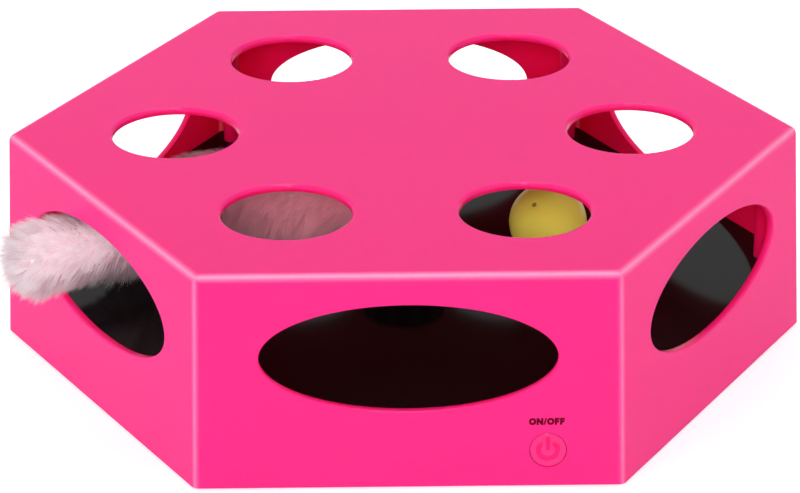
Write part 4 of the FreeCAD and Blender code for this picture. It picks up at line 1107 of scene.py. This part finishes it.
@dataclass
class Studio:
    """The white table, the soft lights and the camera at the photograph's angle, in metres."""

    eye: Point = (-0.014644, -1.249177, 0.603767)
    azimuth: float = -0.613       # degrees, as are the next two
    elevation: float = 24.578
    roll: float = -0.304
    lens: float = 171.36          # millimetres, as is the sensor
    sensor: float = 36.0
    aim: Point = (0, 0, 0.04)     # what the lamps face
    floor_size: float = 8.0
    world_level: float = 0.45
    table_colour: Point = (0.78, 0.78, 0.78)
    table_glow: float = 0.48      # the part of the table's white that no shadow takes

    def white_for_views(self, tree: bpy.types.NodeTree) -> Socket:
        """A switch that is 1 for rays of the camera, of gloss and of glass.

        Args:
            tree: the node tree that gets it.

        Returns:
            The socket of the switch.
        """
        ray = add_node(tree, "ShaderNodeLightPath").outputs
        either = add_node(tree, "ShaderNodeMath", {"operation": "MAXIMUM"},
                          {0: ray["Is Camera Ray"], 1: ray["Is Glossy Ray"]}).outputs[0]
        return add_node(tree, "ShaderNodeMath", {"operation": "MAXIMUM"},
                        {0: either, 1: ray["Is Transmission Ray"]}).outputs[0]

    def world(self) -> None:
        """White behind the object, and an even grey light on it."""
        world = bpy.data.worlds.new("studio")
        bpy.context.scene.world = world
        world.use_nodes = True
        tree = world.node_tree
        tree.nodes.clear()
        dim = add_node(tree, "ShaderNodeBackground", {"Color": (1, 1, 1, 1), "Strength": self.world_level})
        full = add_node(tree, "ShaderNodeBackground", {"Color": (1, 1, 1, 1), "Strength": 1.0})
        mixed = add_node(tree, "ShaderNodeMixShader", {},
                         {0: self.white_for_views(tree), 1: dim.outputs[0], 2: full.outputs[0]})
        add_node(tree, "ShaderNodeOutputWorld", links={"Surface": mixed.outputs[0]})

    def floor(self) -> None:
        """The table top, white to the eye, which keeps the object's shadow."""
        made, tree = new_material("studio_table")
        shader = add_node(tree, "ShaderNodeBsdfDiffuse", {"Color": (*self.table_colour, 1)})
        level = add_node(tree, "ShaderNodeMath", {"operation": "MULTIPLY", 1: self.table_glow},
                         {0: self.white_for_views(tree)}).outputs[0]
        glow = add_node(tree, "ShaderNodeEmission", {"Color": (1, 1, 1, 1)}, {"Strength": level})
        both = add_node(tree, "ShaderNodeAddShader", {}, {0: shader.outputs[0], 1: glow.outputs[0]})
        add_node(tree, "ShaderNodeOutputMaterial", links={"Surface": both.outputs[0]})
        half = self.floor_size / 2
        mesh = bpy.data.meshes.new("table")
        mesh.from_pydata([(-half, -half, 0), (half, -half, 0), (half, half, 0), (-half, half, 0)], [],
                         [(0, 1, 2, 3)])
        mesh.materials.append(made)
        table = bpy.data.objects.new("table", mesh)
        bpy.context.scene.collection.objects.link(table)

    def lamp(self, name: str, place: Point, size: tuple[float, float], power: float,
             gloss_only: bool = False) -> None:
        """Hangs one soft light that faces the object.

        Args:
            name: the lamp's name.
            place: where it hangs, in metres.
            size: its width and height, in metres.
            power: its watts.
            gloss_only: whether it shows only in reflections; other lamps only light the object.
        """
        data = bpy.data.lights.new(name, "AREA")
        data.shape = "RECTANGLE"
        data.size, data.size_y = size
        data.energy = power
        lamp = bpy.data.objects.new(name, data)
        lamp.location = place
        lamp.rotation_mode = "QUATERNION"
        lamp.rotation_quaternion = (Vector(self.aim) - Vector(place)).to_track_quat("-Z", "Y")
        lamp.visible_diffuse = not gloss_only
        lamp.visible_glossy = gloss_only
        bpy.context.scene.collection.objects.link(lamp)

    def camera(self) -> None:
        """The camera where the photograph was taken from."""
        a, e, r = (math.radians(v) for v in (self.azimuth, self.elevation, self.roll))
        back = Vector((math.sin(a) * math.cos(e), -math.cos(a) * math.cos(e), math.sin(e)))
        right = Vector((0, 0, 1)).cross(back).normalized()
        up = back.cross(right)
        turned_right = right * math.cos(r) + up * math.sin(r)
        turned_up = up * math.cos(r) - right * math.sin(r)
        data = bpy.data.cameras.new("camera")
        data.lens = self.lens
        data.sensor_width = self.sensor
        data.sensor_fit = "HORIZONTAL"
        data.clip_start = 0.01
        data.clip_end = 50.0
        camera = bpy.data.objects.new("camera", data)
        camera.matrix_world = Matrix((
            (turned_right.x, turned_up.x, back.x, self.eye[0]),
            (turned_right.y, turned_up.y, back.y, self.eye[1]),
            (turned_right.z, turned_up.z, back.z, self.eye[2]), (0, 0, 0, 1)))
        bpy.context.scene.collection.objects.link(camera)
        bpy.context.scene.camera = camera

    def build(self) -> None:
        """Sets up everything round the object."""
        bpy.context.scene.view_settings.view_transform = "Standard"
        self.world()
        self.floor()
        self.lamp("key", (-1.8, -1.62, 0.65), (1.2, 1.2), 27.0)
        self.lamp("fill", (1.8, -1.0, 0.75), (1.2, 1.2), 14.0)
        self.lamp("front", (-0.15, -2.0, 1.05), (0.8, 0.8), 21.0)
        self.lamp("back", (-0.15, 1.25, 1.15), (2.2, 0.4), 12.0)
        # This one draws the bright lines on the rounded edges that face up
        self.lamp("gleam", (0.0, -0.15, 1.5), (0.5, 2.0), 50.0, gloss_only=True)
        self.camera()


@dataclass
class PlayFloor(SubAssembly):
    """The black floor that the ball rolls on, and the rotor that turns in its middle."""

    finishes: dict[str, Finish] = field(default_factory=lambda: {
        "deck_plate": DECK_STYRENE, "rotor_hub": HUB_STYRENE, "rotor_cap": HUB_STYRENE,
        "rotor_screw": ZINC_SCREW})


@dataclass
class Base(SubAssembly):
    """The bottom cover with its battery door, feet and screws."""

    finishes: dict[str, Finish] = field(default_factory=lambda: {
        "bottom_cover": BASE_PP, "battery_door": BASE_PP, "rubber_feet": FOOT_RUBBER,
        "shell_screws": ZINC_SCREW})


@dataclass
class DriveTrain(SubAssembly):
    """The motor, the three stages of gears and their case."""

    finishes: dict[str, Finish] = field(default_factory=lambda: {
        "gearbox_tray": GEAR_ACETAL, "gearbox_lid": GEAR_ACETAL, "gearbox_screws": ZINC_SCREW,
        "first_gear": GEAR_ACETAL, "second_gear": GEAR_ACETAL, "output_gear": GEAR_ACETAL,
        "output_shaft": GEAR_ACETAL, "shaft_bush": BUSH_NYLON, "gear_pins": DRAWN_STEEL,
        "motor_can": DRAWN_STEEL, "motor_shaft": DRAWN_STEEL, "motor_end_cap": BASE_PP,
        "motor_terminals": NICKEL_STRIP, "motor_pinion": TURNED_BRASS})


@dataclass
class Electronics(SubAssembly):
    """The circuit board with its switch, chip and capacitor, and the wires."""

    finishes: dict[str, Finish] = field(default_factory=lambda: {
        "circuit_board": BOARD_PHENOLIC, "control_chip": BASE_PP, "capacitor": SLEEVE_PVC,
        "push_switch": BASE_PP, "board_screws": ZINC_SCREW, "wire_sockets": GEAR_ACETAL,
        "motor_leads": WIRE_RED, "battery_leads": WIRE_RED})


@dataclass
class PowerPack(SubAssembly):
    """The three cells and the plates that they press on."""

    finishes: dict[str, Finish] = field(default_factory=lambda: {
        "battery_cells": CELL_JACKET, "contact_plates": NICKEL_STRIP})


def main() -> None:
    """Sets up the studio, then builds the toy from its floor outward."""
    logging.basicConfig(level=logging.INFO, format="%(name)s %(message)s")
    Studio().build()
    for part in (Base(), PowerPack(), Electronics(), DriveTrain(), PlayFloor(), Worm(), LooseBall(),
                 PowerButton(), Hood()):
        LOG.info("building %s", type(part).__name__)
        part.build()


if __name__ == "__main__":
    main()
